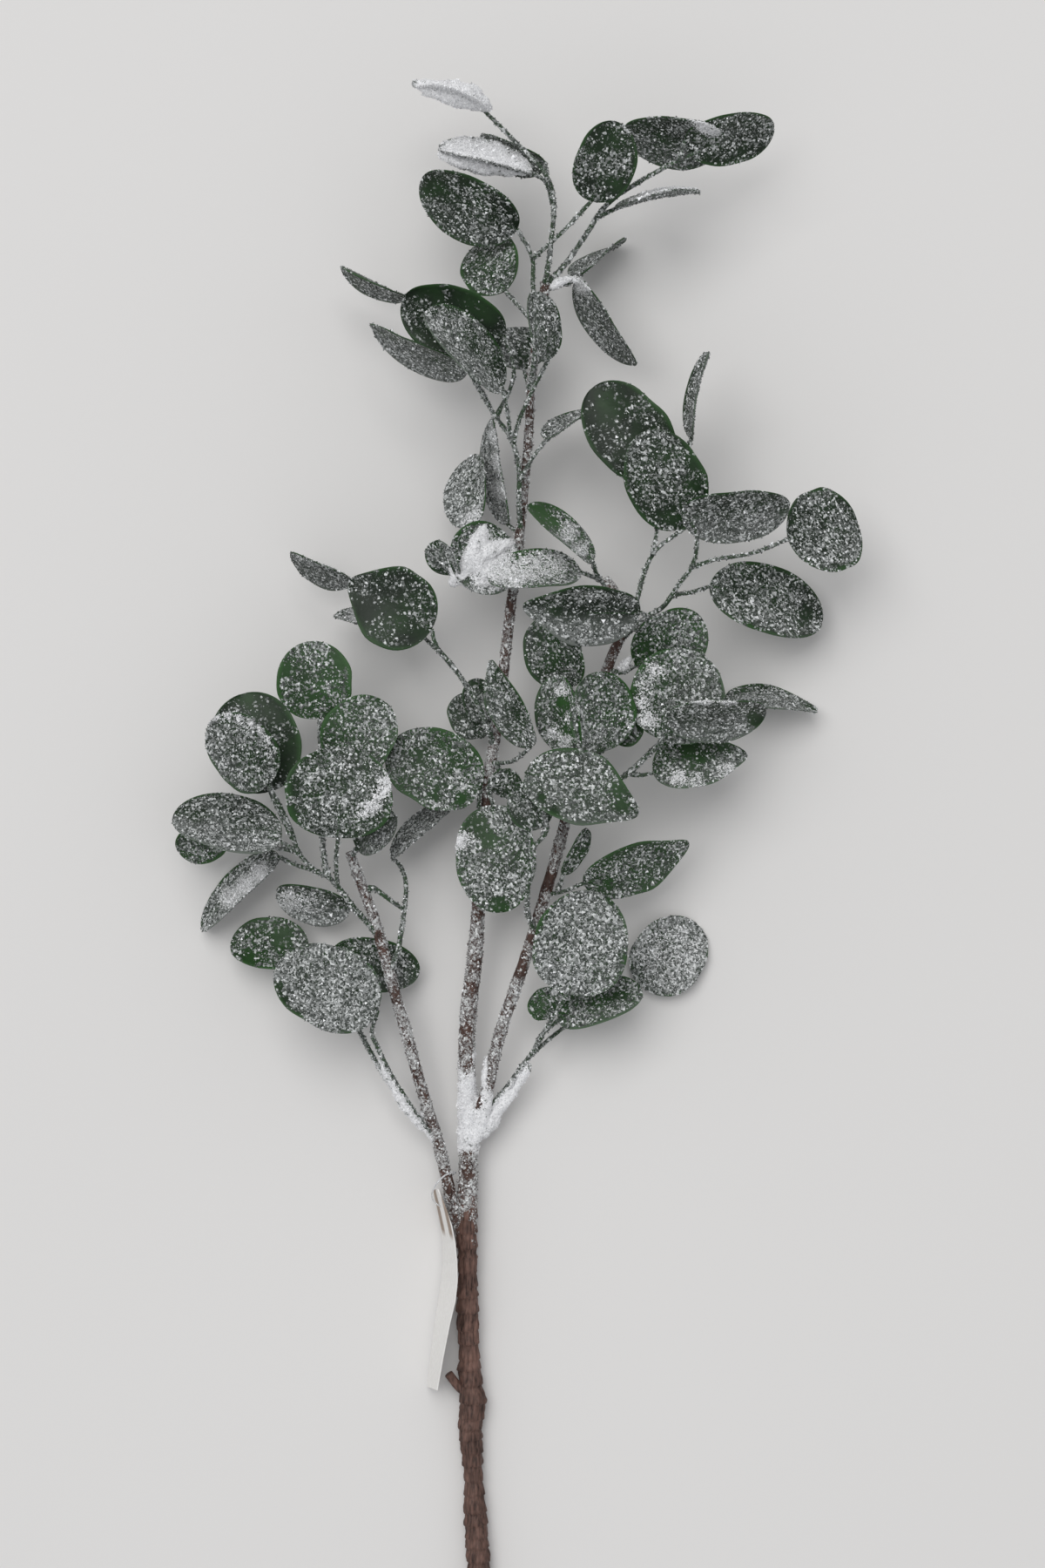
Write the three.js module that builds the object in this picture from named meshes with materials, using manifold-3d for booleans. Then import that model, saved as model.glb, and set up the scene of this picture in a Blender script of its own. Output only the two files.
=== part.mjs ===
// A frosted artificial eucalyptus spray, lying on a surface. Millimetres, +Z up, the tip towards +Y.
import * as THREE from "three";
import { mergeVertices } from "three/addons/utils/BufferGeometryUtils.js";
import Module from "manifold-3d";

const wasm = await Module();
wasm.setup();

// Driving dimensions, in millimetres.
const OVERALL_LENGTH = 760;
const TRUNK_RADIUS = 5;
const BRANCH_RADIUS = 2.7;
const STALK_RADIUS = 1.25;
const PETIOLE_RADIUS = 0.9;
const LEAF_THICKNESS = 1.1;
const RIM_THICKNESS = 0.8;
const SEAT_GAP = 0.3;
const WIRE_RADIUS = 0.95;
const WIRE_PROUD = 3;
const CARD_THICKNESS = 0.5;
const CARD_HOLE_RADIUS = 2;
const THREAD_RADIUS = 0.4;

// Plan places are read off a straight-down view of 1200 by 1800 pixels, taken from VIEW_HEIGHT.
// The spray's cut end is BUTT_ROW pixels down it, and its tip is above TIP_ROW on the surface.
const BUTT_ROW = 2020;
const TIP_ROW = 120;
const PIXEL = OVERALL_LENGTH / (BUTT_ROW - TIP_ROW);
const VIEW_CENTRE = [600, 900];
const VIEW_HEIGHT = 1500;

// The middle of the spray's box, in the same pixels, which is the frame's origin.
const ORIGIN_COLUMN = 595;
const ORIGIN_ROW = 1073.6;

// A place in the view, [column, row, height], as a point of the model.
// What is raised lies nearer the middle of the view than it looks.
function at([column, row, height]) {
  const shrink = 1 - height / VIEW_HEIGHT;
  const x = VIEW_CENTRE[0] + (column - VIEW_CENTRE[0]) * shrink;
  const y = VIEW_CENTRE[1] + (row - VIEW_CENTRE[1]) * shrink;
  return new THREE.Vector3((x - ORIGIN_COLUMN) * PIXEL, (ORIGIN_ROW - y) * PIXEL, height);
}

const plastic = (colour) =>
  new THREE.MeshStandardMaterial({ color: colour, roughness: 0.75, metalness: 0 });
const LEAF_GREEN = plastic(0x5d6f60);
const BARK_BROWN = plastic(0x55403a);
const CARD_WHITE = plastic(0xd8d0c2);
const THREAD_CLEAR = plastic(0xdadde0);
const WIRE_STEEL = new THREE.MeshStandardMaterial({
  color: 0x8d8f92,
  roughness: 0.4,
  metalness: 0.9,
});

// Brown stems: a centreline, and the radius at each of its points as a share of the first.
const STEMS = {
  main_stem: {
    radius: TRUNK_RADIUS,
    sides: 10,
    steps: 66,
    points: [
      [561, 2020, 5.3], [556, 1900, 5.3], [550, 1800, 5.3], [545.5, 1728, 5.2], [544, 1698, 5.2],
      [542, 1667, 5.3], [540, 1640, 5.5], [542, 1606, 5.7], [539, 1560, 6], [537, 1500, 7],
      [537, 1456, 8], [536, 1410, 9], [537.6, 1333, 11], [537.6, 1276, 13], [536, 1218, 15],
      [538, 1160, 17], [545, 1100, 19], [552, 1000, 23], [560, 900, 26], [567, 855, 28],
      [575, 800, 30], [586, 700, 33], [596, 620, 36], [602, 560, 37], [607, 500, 38.5],
      [611, 430, 40], [620, 365, 41.5], [627, 326, 42], [629, 310, 42.6],
    ],
    shares: [
      1.04, 1.06, 1.04, 0.98, 0.78, 0.96, 1.04, 1.08, 0.9, 0.96, 0.8, 0.96, 0.82, 0.78, 0.74,
      0.74, 0.68, 0.54, 0.5, 0.5, 0.48, 0.46, 0.42, 0.4, 0.4, 0.38, 0.38, 0.46, 0.16,
    ],
  },
  left_branch: {
    parent: "main_stem",
    radius: BRANCH_RADIUS,
    sides: 8,
    steps: 16,
    points: [
      [534, 1425, 9], [522, 1392, 10.2], [511, 1343, 12], [501, 1304, 13.5], [492, 1276, 15],
      [478, 1228, 17], [465, 1180, 20], [452, 1135, 23], [440, 1090, 25], [428, 1050, 27],
      [414, 1012, 28.5], [401, 978, 30.5],
    ],
    shares: [1, 1, 1, 0.98, 0.96, 0.94, 0.94, 0.92, 0.92, 0.9, 0.84, 0.74],
  },
  right_branch: {
    parent: "main_stem",
    radius: BRANCH_RADIUS,
    sides: 8,
    steps: 30,
    points: [
      [539, 1312, 12], [548, 1286, 14.5], [556, 1262, 16.5], [562, 1240, 17.5], [567, 1215, 19],
      [576, 1180, 21], [588, 1145, 23], [600, 1110, 25], [613, 1070, 27], [625, 1030, 29],
      [634, 1000, 30.5], [641, 975, 32], [652, 930, 34], [665, 880, 36], [677, 835, 38],
      [690, 790, 40], [702, 755, 41], [713, 728, 42], [712, 700, 42.5], [701, 676, 43],
      [694, 664, 43.6],
    ],
    shares: [
      1.1, 1.08, 1.05, 1.02, 1, 1, 1, 1, 1, 0.98, 0.96, 0.94, 0.9, 0.86, 0.84, 0.84, 0.86, 0.84,
      0.82, 1.1, 0.8,
    ],
  },
};

// The short cut twig on the side of the trunk.
const STUB = { radius: 1.5, points: [[536, 1606, 6], [525, 1598, 7], [514, 1578, 8.5]] };

// Green stalks, from the axis of what each grows on to the base of its end leaf.
const STALKS = {
  sprig_top_left: {
    parent: "main_stem",
    points: [
      [627, 327, 42], [628, 313, 46], [631, 296, 46.5], [633, 275, 46.5], [636, 240, 47.5],
      [632, 212, 49], [624, 197, 50.5], [611, 182, 52], [587, 158, 55],
    ],
  },
  sprig_top_centre: {
    parent: "main_stem",
    points: [
      [609, 446, 39.8], [612, 425, 44.5], [617, 366, 46], [612, 329, 46.5], [611, 296, 47.5],
    ],
  },
  sprig_top_right: {
    parent: "main_stem",
    points: [
      [629, 325, 42], [648, 305, 43], [670, 274, 45],
      [697, 235, 47], [737, 207, 49], [780, 184, 51],
    ],
  },
  sprig_upper_left: {
    parent: "main_stem",
    points: [
      [598, 612, 36], [596, 576, 41.5], [596, 540, 44], [591, 515, 46], [583, 497, 47],
      [568, 477, 49], [555, 454, 51],
    ],
  },
  sprig_snow: {
    parent: "main_stem",
    points: [[592, 650, 35], [587, 632, 37.5]],
  },
  sprig_right_inner: {
    parent: "right_branch",
    points: [[713, 728, 42], [724, 712, 45], [731, 691, 48], [740, 657, 50], [753, 632, 52]],
  },
  sprig_right_outer: {
    parent: "right_branch",
    points: [
      [711, 734, 41.6], [730, 719, 43], [743, 708, 44.5], [762, 696, 47], [778, 673, 50],
      [794, 651, 53], [800, 630, 56], [798, 607, 62],
    ],
  },
  sprig_middle_left: {
    parent: "main_stem",
    points: [[567, 856, 28], [557, 826, 37], [541, 795, 40], [517, 761, 42], [500, 740, 43]],
  },
  sprig_front: {
    parent: "right_branch",
    points: [
      [614, 1067, 27], [606, 1048, 37], [606, 1020, 46], [608, 1000, 49], [612, 975, 53],
      [628, 952, 57], [617, 920, 59],
    ],
  },
  sprig_right: {
    parent: "right_branch",
    points: [
      [660, 900, 35.2], [690, 903, 36], [719, 890, 37], [743, 868, 43], [759, 852, 54],
    ],
  },
  sprig_lower_right: {
    parent: "right_branch",
    points: [
      [551, 1277, 15.4], [562, 1270, 15], [572, 1260, 15], [584, 1245, 16], [599, 1224, 17],
      [612, 1207, 19], [622, 1188, 21],
    ],
  },
  sprig_left: {
    parent: "left_branch",
    points: [
      [434, 1072, 26], [410, 1046, 30], [388, 1018, 34], [376, 1006, 36], [360, 998, 37.5],
      [343, 978, 40], [332, 947, 43], [317, 917, 46],
    ],
  },
  bare_twig: {
    parent: "left_branch",
    points: [
      [446.7, 1115, 23.9], [456, 1094, 26.5], [461, 1068, 27],
      [465, 1040, 26.5], [466, 1014, 26], [461, 996, 25],
    ],
  },
  sprig_lower_left: {
    parent: "left_branch",
    points: [
      [500, 1306, 13.6], [486, 1291, 16], [469, 1266, 19], [451, 1237, 23], [435, 1205, 28],
      [427, 1185, 32],
    ],
  },
  sprig_lower_left_back: {
    parent: "left_branch",
    points: [
      [493, 1278, 14.8], [478, 1281, 12.5], [462, 1262, 13], [445, 1238, 14], [428, 1212, 15],
      [413, 1184, 15.5], [385, 1138, 15],
    ],
  },
  sprig_left_centre: {
    parent: "sprig_left",
    points: [[376, 1006, 36], [371, 975, 35], [370, 930, 34], [369, 880, 33], [367, 843, 35]],
  },
};

// Leaves. Each grows on a stem or a stalk, and stem lists its petiole's points up to the base.
// Where end is set, the leaf ends that stalk in one moulding. Where joins is set, it is moulded
// in one with that piece. Width is in millimetres, and roll turns the blade about its own line:
// a positive roll lifts the right side as seen from the base. Bend arches the blade towards its
// upper face, and cup lifts its two sides.
const LEAVES = [
  // Top.
  {
    name: "top_1", end: "sprig_top_left",
    base: [556, 127, 58], tip: [477, 100, 62], width: 32, roll: -80,
  },
  {
    name: "top_2", joins: "leaf_top_3", stem: [[627, 201, 46]],
    base: [626, 187, 40], tip: [552, 160, 31], width: 26, roll: 70,
  },
  {
    name: "top_3", on: "sprig_top_left", stem: [[635, 232, 47.4], [626, 208, 52]],
    base: [611, 199, 57], tip: [503, 171, 60], width: 33, roll: -65,
  },
  {
    name: "top_4", end: "sprig_top_centre",
    base: [594, 263, 49], tip: [484, 205, 53], width: 34, roll: 45,
  },
  {
    name: "top_5", on: "sprig_top_centre", stem: [[616, 374, 45.9], [598, 354, 46]],
    base: [580, 334, 45], tip: [553, 276, 24], width: 29, roll: 18,
  },
  {
    name: "top_6", on: "sprig_top_centre", stem: [[611, 297, 47.4], [640, 272, 55]],
    base: [679, 231, 60], tip: [707, 139, 70], width: 28, roll: -20,
  },
  {
    name: "top_7", end: "sprig_top_right",
    base: [832, 161, 50], tip: [716, 149, 46], width: 34, roll: 60,
  },
  {
    name: "top_8", joins: "sprig_top_right", stem: [[780, 184, 51]],
    base: [786, 161, 55], tip: [889, 149, 45], width: 27, roll: -44,
  },
  {
    name: "top_9", joins: "sprig_top_right", stem: [[688, 248, 46.4]],
    base: [706, 240, 44], tip: [804, 222, 42], width: 30, roll: 78,
  },
  {
    name: "top_10", joins: "leaf_top_11", stem: [[650, 326, 38]],
    base: [666, 316, 27], tip: [712, 281, 2.3], width: 26, roll: 70,
  },
  {
    name: "top_11", on: "main_stem", stem: [[626, 332, 42], [650, 326, 39]],
    base: [664, 320, 38], tip: [731, 419, 30], width: 30, roll: -72,
  },
  {
    name: "top_12", on: "sprig_upper_left", stem: [[589, 509, 46.3], [596, 483, 50], [611, 449, 54]],
    base: [629, 414, 58], tip: [610, 336, 68], width: 24, roll: -50,
  },
  // Upper left.
  {
    name: "upper_left_1", on: "sprig_upper_left", stem: [[556, 456, 50.9], [530, 410, 38], [500, 375, 32]],
    base: [467, 341, 30], tip: [391, 306, 30], width: 28, roll: 84,
  },
  {
    name: "upper_left_2", on: "sprig_upper_left", stem: [[570, 479, 48.8], [590, 430, 50]],
    base: [580, 386, 50], tip: [461, 347, 48], width: 33, roll: 25,
  },
  {
    name: "upper_left_3", on: "sprig_upper_left", stem: [[586, 503, 46.7], [583, 475, 56]],
    base: [577, 446, 64], tip: [488, 358, 80], width: 34, roll: -50,
  },
  {
    name: "upper_left_4", end: "sprig_upper_left",
    base: [537, 424, 53], tip: [426, 374, 42], width: 34, roll: 74,
  },
  {
    name: "upper_left_5", on: "main_stem", stem: [[609, 452, 39.6]],
    base: [602, 424, 34], tip: [590, 376, 28], width: 26, roll: -15,
  },
  {
    name: "upper_left_6", on: "main_stem", stem: [[598, 614, 36]],
    base: [583, 602, 29], tip: [566, 479, 27], width: 29, roll: 72,
  },
  {
    name: "upper_left_7", joins: "sprig_snow", stem: [[588, 634, 37.2], [566, 610, 40]],
    base: [546, 603, 42], tip: [537, 526, 22], width: 28, roll: 45,
  },
  {
    name: "upper_left_8", on: "sprig_upper_left", stem: [[596, 552, 43.4], [612, 525, 46]],
    base: [628, 504, 44], tip: [682, 470, 30], width: 22, roll: 68,
  },
  // Upper right.
  {
    name: "upper_right_1", on: "sprig_right_inner", stem: [[750, 637, 53.4], [757, 590, 50]],
    base: [765, 547, 48], tip: [680, 445, 48], width: 35, roll: 8,
  },
  {
    name: "upper_right_2", end: "sprig_right_inner",
    base: [788, 605, 53], tip: [739, 495, 64], width: 35, roll: 6,
  },
  {
    name: "upper_right_3", end: "sprig_right_outer",
    base: [783, 588, 67], tip: [907, 582, 62], width: 33, roll: -50,
  },
  {
    name: "upper_right_4", on: "sprig_right_outer", stem: [[794, 651, 53], [823, 642, 53], [864, 635, 54]],
    base: [905, 619, 54], tip: [986, 604, 36], width: 39, roll: 8,
  },
  {
    name: "upper_right_5", on: "sprig_right_outer", stem: [[772, 683, 48.5], [793, 680, 40]],
    base: [815, 673, 31], tip: [944, 713, 14], width: 33, roll: 22,
  },
  {
    name: "upper_right_6", joins: "leaf_upper_right_1", stem: [[754, 606, 50.8], [780, 550, 46]],
    base: [794, 503, 46], tip: [813, 404, 48], width: 25, roll: 80,
  },
  // Middle.
  {
    name: "middle_1", joins: "leaf_middle_3", stem: [[486, 731, 37], [440, 692, 32]],
    base: [404, 667, 28], tip: [333, 636, 24], width: 25, roll: 70,
  },
  {
    name: "middle_2", end: "sprig_middle_left",
    base: [496, 722, 44], tip: [401, 667, 42], width: 37, roll: 4,
  },
  {
    name: "middle_3", on: "sprig_middle_left", stem: [[520, 765, 41.8], [502, 746, 36]],
    base: [484, 729, 31], tip: [384, 706, 23], width: 28, roll: -68,
  },
  {
    name: "middle_4", end: "sprig_snow",
    base: [584, 616, 39], tip: [528, 668, 43], width: 34, roll: 4,
  },
  {
    name: "middle_5", on: "right_branch", stem: [[702, 677, 43], [685, 664, 47]],
    base: [667, 657, 52], tip: [560, 665, 56], width: 27, roll: -46,
  },
  {
    name: "middle_6", joins: "leaf_middle_5", stem: [[688, 666, 46.5], [684, 656, 52]],
    base: [681, 645, 56], tip: [606, 580, 60], width: 24, roll: -58,
  },
  {
    name: "middle_7", on: "right_branch", stem: [[713, 722, 42.1], [738, 722, 54], [744, 710, 62]],
    base: [735, 703, 66], tip: [600, 696, 72], width: 33, roll: 38,
  },
  {
    name: "middle_8", joins: "sprig_snow", stem: [[587, 638, 37], [550, 665, 38]],
    base: [520, 660, 38], tip: [503, 620, 44], width: 22, roll: 55,
  },
  {
    name: "middle_9", on: "right_branch", stem: [[688, 797, 39.7], [670, 802, 42]],
    base: [652, 790, 43], tip: [628, 705, 49], width: 31, roll: 32,
  },
  {
    name: "middle_10", on: "right_branch", stem: [[664, 884, 35.8], [662, 876, 44]],
    base: [655, 866, 50], tip: [640, 774, 55], width: 28, roll: 48,
  },
  {
    name: "middle_11", joins: "leaf_middle_10", stem: [[663, 878, 42], [678, 870, 44]],
    base: [692, 863, 50], tip: [681, 772, 62], width: 34, roll: -28,
  },
  {
    name: "middle_12", on: "main_stem", stem: [[564, 876, 27.2], [588, 874, 38]],
    base: [609, 858, 47], tip: [563, 758, 56], width: 22, roll: 42,
  },
  {
    name: "middle_13", on: "main_stem", stem: [[569, 846, 28.4], [561, 840, 25]],
    base: [555, 829, 21], tip: [544, 779, 22], width: 16, roll: -14,
  },
  {
    name: "middle_14", joins: "leaf_middle_13", stem: [[560.5, 839, 24.6]],
    base: [552, 846, 19], tip: [527, 797, 17], width: 21, roll: -10,
  },
  {
    name: "middle_15", end: "sprig_front",
    base: [604, 886, 63], tip: [733, 935, 68], width: 35, roll: 20,
  },
  {
    name: "middle_16", joins: "sprig_front", stem: [[624, 959, 56.4]],
    base: [628, 946, 50], tip: [592, 902, 49], width: 23, roll: 35,
  },
  {
    name: "middle_17", joins: "leaf_middle_12", stem: [[570, 877, 30], [578, 896, 30]],
    base: [576, 914, 30], tip: [588, 884, 40], width: 16, roll: 0,
  },
  // Right.
  {
    name: "right_1", on: "right_branch", stem: [[700, 770, 40.6], [716, 772, 42]],
    base: [730, 764, 43], tip: [807, 711, 42], width: 31, roll: -18,
  },
  {
    name: "right_2", on: "sprig_right", stem: [[730, 880, 37.9], [746, 866, 43]],
    base: [762, 850, 47], tip: [797, 747, 54], width: 43, roll: 8,
  },
  {
    name: "right_3", end: "sprig_right",
    base: [765, 824, 62], tip: [880, 815, 64], width: 30, roll: -52,
  },
  {
    name: "right_4", on: "sprig_right", stem: [[716, 892, 36.8], [760, 850, 22], [800, 815, 14]],
    base: [832, 803, 11.5], tip: [939, 816, 10.5], width: 28, roll: 66,
  },
  {
    name: "right_5", on: "sprig_right", stem: [[722, 888, 37.2], [736, 890, 38]],
    base: [750, 887, 39], tip: [858, 867, 36], width: 30, roll: 35,
  },
  {
    name: "right_6", joins: "leaf_middle_10", stem: [[664, 880, 40], [686, 862, 38]],
    base: [704, 851, 36], tip: [730, 820, 36], width: 18, roll: 0,
  },
  // Lower right.
  {
    name: "lower_right_1", on: "right_branch", stem: [[626, 1027, 29.1], [648, 1023, 32]],
    base: [670, 1014, 34], tip: [791, 967, 31], width: 28, roll: -36,
  },
  {
    name: "lower_right_2", on: "main_stem", stem: [[560, 900, 26], [562, 912, 32]],
    base: [566, 924, 36], tip: [574, 1048, 37], width: 36, roll: -6,
  },
  {
    name: "lower_right_3", on: "sprig_lower_right", stem: [[619, 1195, 20.3], [636, 1166, 32]],
    base: [652, 1141, 40], tip: [684, 1023, 44], width: 42, roll: 0,
  },
  {
    name: "lower_right_4", on: "sprig_lower_right", stem: [[610, 1210, 18.6], [650, 1178, 8], [700, 1150, 5]],
    base: [736, 1132, 4.2], tip: [801, 1061, 0.4], width: 33, roll: 0,
  },
  {
    name: "lower_right_5", end: "sprig_lower_right",
    base: [641, 1171, 24], tip: [738, 1138, 27], width: 27, roll: 44,
  },
  {
    name: "lower_right_6", joins: "sprig_lower_right", stem: [[626, 1184, 22]],
    base: [636, 1166, 20], tip: [618, 1136, 22], width: 18, roll: 0,
  },
  {
    name: "lower_right_7", joins: "leaf_lower_right_1", stem: [[640, 1024, 31]],
    base: [647, 1004, 37], tip: [674, 951, 44], width: 10, roll: -40,
  },
  // Left.
  {
    name: "left_1", end: "sprig_left_centre",
    base: [367, 825, 36], tip: [356, 736, 40], width: 34, roll: 0,
  },
  {
    name: "left_2", on: "sprig_left", stem: [[336, 962, 41.6], [322, 935, 39]],
    base: [310, 909, 36], tip: [279, 796, 34], width: 40, roll: 0,
  },
  {
    name: "left_3", end: "sprig_left",
    base: [308, 901, 50], tip: [243, 826, 62], width: 30, roll: -20,
  },
  {
    name: "left_4", on: "sprig_left", stem: [[345, 981, 39.7], [334, 973, 42]],
    base: [322, 966, 44], tip: [199, 936, 38], width: 33, roll: -42,
  },
  {
    name: "left_5", joins: "leaf_left_4", stem: [[337, 976, 40], [300, 970, 28]],
    base: [257, 951, 22], tip: [205, 978, 18], width: 22, roll: 28,
  },
  {
    name: "left_6", on: "sprig_left", stem: [[387, 1017, 34.2], [386, 985, 48]],
    base: [388, 962, 57], tip: [393, 857, 61], width: 48, roll: 0,
  },
  {
    name: "left_7", on: "sprig_left_centre", stem: [[370, 918, 33.7], [376, 900, 37]],
    base: [386, 880, 40], tip: [444, 807, 46], width: 34, roll: 12,
  },
  {
    name: "left_8", on: "main_stem", stem: [[558, 930, 24.9], [550, 926, 29]],
    base: [552, 906, 32], tip: [445, 860, 36], width: 36, roll: -10,
  },
  {
    name: "left_9", end: "bare_twig",
    base: [450, 984, 23], tip: [520, 923, 24], width: 24, roll: 68,
  },
  {
    name: "left_10", on: "left_branch", stem: [[403, 984, 30.2]],
    base: [410, 974, 34], tip: [455, 936, 38], width: 24, roll: 40,
  },
  {
    name: "left_11", on: "sprig_left", stem: [[366, 1001, 37], [340, 993, 31]],
    base: [321, 984, 20.5], tip: [232, 1066, 4.9], width: 28, roll: -60,
  },
  {
    name: "left_12", on: "sprig_left", stem: [[414, 1050, 29.4]],
    base: [402, 1042, 22], tip: [317, 1025, 18], width: 27, roll: 48,
  },
  // Lower left.
  {
    name: "lower_left_1", end: "sprig_lower_left_back",
    base: [354, 1092, 14], tip: [265, 1082, 10], width: 27, roll: -30,
  },
  {
    name: "lower_left_2", end: "sprig_lower_left",
    base: [434, 1160, 34], tip: [316, 1112, 38], width: 38, roll: -20,
  },
  {
    name: "lower_left_3", joins: "sprig_lower_left_back", stem: [[397, 1158, 15.3]],
    base: [378, 1098, 13], tip: [482, 1116, 11], width: 24, roll: 0,
  },
];

// The hang tag: its two long edges, and where its hole is.
const TAG_NEAR_EDGE = [
  [503, 1365, 22], [512, 1388, 24], [520, 1413, 25], [524.5, 1450, 25.5],
  [524, 1485, 25], [514, 1530, 24], [502, 1596, 23],
];
const TAG_FAR_EDGE = [
  [497, 1366, 2], [502, 1388, 2], [507, 1413, 2], [509, 1450, 2],
  [505, 1485, 2], [498, 1530, 2], [491, 1592, 2],
];
const TAG_HOLE = [505, 1384, 13];
const THREAD_LOOP = [
  [523.4, 1346, 12], [513, 1348, 17.8], [502, 1358, 17], [496, 1374, 14.5], [504.5, 1384, 13],
  [510, 1374, 8.6], [514, 1354, 6.6],
];

// One closed surface over a row of rings that all have the same number of points.
// A ring's points run anticlockwise as seen from beyond the last ring.
function skin(rings, closed = false) {
  const size = rings[0].length;
  const corners = rings.flat().flatMap((point) => point.toArray());
  const faces = [];
  const spans = closed ? rings.length : rings.length - 1;
  for (let ring = 0; ring < spans; ring += 1) {
    const next = (ring + 1) % rings.length;
    for (let side = 0; side < size; side += 1) {
      const turn = (side + 1) % size;
      const [a, b] = [ring * size + side, ring * size + turn];
      const [c, d] = [next * size + side, next * size + turn];
      faces.push(a, b, d, a, d, c);
    }
  }
  if (!closed) {
    const last = (rings.length - 1) * size;
    for (let side = 1; side < size - 1; side += 1) {
      faces.push(0, side + 1, side, last, last + side, last + side + 1);
    }
  }
  const geometry = new THREE.BufferGeometry();
  geometry.setAttribute("position", new THREE.Float32BufferAttribute(corners, 3));
  geometry.setIndex(faces);
  return geometry;
}

// A geometry as a solid that can be joined and cut.
function solid(geometry) {
  const merged = mergeVertices(geometry, 1e-4);
  return new wasm.Manifold(
    new wasm.Mesh({
      numProp: 3,
      vertProperties: merged.attributes.position.array,
      triVerts: new Uint32Array(merged.index.array),
    }),
  );
}

// The largest body of a solid, as a geometry.
function largest(made) {
  const bodies = made.decompose().sort((a, b) => b.volume() - a.volume());
  const mesh = bodies[0].getMesh();
  const geometry = new THREE.BufferGeometry();
  geometry.setAttribute("position", new THREE.Float32BufferAttribute(mesh.vertProperties, 3));
  geometry.setIndex(Array.from(mesh.triVerts));
  return geometry;
}

const curve = (points) => new THREE.CatmullRomCurve3(points, false, "centripetal");

// Value at a share of the way along evenly numbered values.
function along(values, share) {
  const place = share * (values.length - 1);
  const low = Math.min(Math.floor(place), values.length - 2);
  return THREE.MathUtils.lerp(values[low], values[low + 1], place - low);
}

// A round ring about a point, across a direction, with its first point towards up.
function ring(centre, direction, up, radius, sides) {
  const right = new THREE.Vector3().crossVectors(direction, up).normalize();
  const top = new THREE.Vector3().crossVectors(right, direction).normalize();
  return Array.from({ length: sides }, (_, side) => {
    const angle = (side / sides) * 2 * Math.PI;
    return centre
      .clone()
      .addScaledVector(top, radius * Math.cos(angle))
      .addScaledVector(right, radius * Math.sin(angle));
  });
}

// Stems and stalks as sampled centrelines: points, directions and radii.
const SAMPLES = 600;
const lines = new Map();
function keepLine(name, points, radiusAt) {
  const path = curve(points);
  const samples = Array.from({ length: SAMPLES + 1 }, (_, i) => {
    const share = i / SAMPLES;
    return {
      point: path.getPoint(share),
      direction: path.getTangent(share),
      radius: radiusAt(share),
    };
  });
  lines.set(name, samples);
  return samples;
}

// How far along a child's samples it has left its parent's surface by the seat gap.
function clearOf(samples, parent) {
  let start = 0;
  samples.forEach((sample, i) => {
    let nearest = parent[0];
    for (const candidate of parent) {
      if (candidate.point.distanceTo(sample.point) < nearest.point.distanceTo(sample.point)) {
        nearest = candidate;
      }
    }
    const away = new THREE.Vector3().subVectors(sample.point, nearest.point);
    const distance = away.length();
    const lean = distance > 0 ? Math.abs(away.dot(sample.direction)) / distance : 0;
    const reach = sample.radius * Math.sqrt(Math.max(0, 1 - lean * lean));
    if (distance < nearest.radius + SEAT_GAP + reach) start = i + 1;
  });
  return Math.min(start, samples.length - 3);
}

const UP = new THREE.Vector3(0, 0, 1);
const ALONG = new THREE.Vector3(0, 1, 0);

// Rings along a line from a sample to its end.
function tubeRings(samples, start, steps, sides) {
  return Array.from({ length: steps + 1 }, (_, i) => {
    const place = Math.round(start + ((samples.length - 1 - start) * i) / steps);
    const { point, direction, radius } = samples[place];
    return ring(point, direction, UP, radius, sides);
  });
}

// Where a blade's rings lie along it, and the share of its width that each has.
const BLADE_STATIONS = [0.03, 0.14, 0.36, 0.62, 0.84, 0.97];
const bladeShare = (u) => Math.sqrt(Math.max(0, 1 - Math.abs(2 * u ** 0.93 - 1) ** 2.2));

// The six-sided rings of a blade: the middle and right rim of its upper face, then its lower face
// from right to left, then the left rim.
function bladeRings(leaf) {
  const base = at(leaf.base);
  const tip = at(leaf.tip);
  const line = new THREE.Vector3().subVectors(tip, base);
  const length = line.length();
  line.normalize();
  const flatSide = new THREE.Vector3().crossVectors(line, UP).normalize();
  const flatTop = new THREE.Vector3().crossVectors(flatSide, line).normalize();
  const roll = THREE.MathUtils.degToRad(leaf.roll);
  const side = flatSide.clone().multiplyScalar(Math.cos(roll)).addScaledVector(flatTop, Math.sin(roll));
  const top = flatTop.clone().multiplyScalar(Math.cos(roll)).addScaledVector(flatSide, -Math.sin(roll));
  const bend = leaf.bend ?? 0.05 * length;
  const cup = leaf.cup ?? 0.08 * leaf.width;
  return BLADE_STATIONS.map((u) => {
    const share = bladeShare(u);
    const arch = bend * (1 - (2 * u - 1) ** 2);
    const point = (v, lift) =>
      base
        .clone()
        .addScaledVector(line, u * length)
        .addScaledVector(side, (v * share * leaf.width) / 2)
        .addScaledVector(top, arch + cup * share * v * v + lift);
    const rim = RIM_THICKNESS / 2;
    const middle = LEAF_THICKNESS / 2;
    return [
      point(0, middle), point(1, rim), point(1, -rim),
      point(0, -middle), point(-1, -rim), point(-1, rim),
    ];
  });
}

// A petiole's six-sided rings, which one skin continues into its blade.
const petioleRings = (samples, start, steps) => tubeRings(samples, start, steps, 6);

const PETIOLE_STEPS = 3;
const CARD_STEPS = 10;
const THREAD_STEPS = 28;
const WIRE_SAMPLES = 176;
const WIRE_STRIDE = 16;
const STALK_STEPS = 9;
const pieces = new Map();

function add(name, geometry, material) {
  pieces.set(name, { geometry, material });
}

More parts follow.
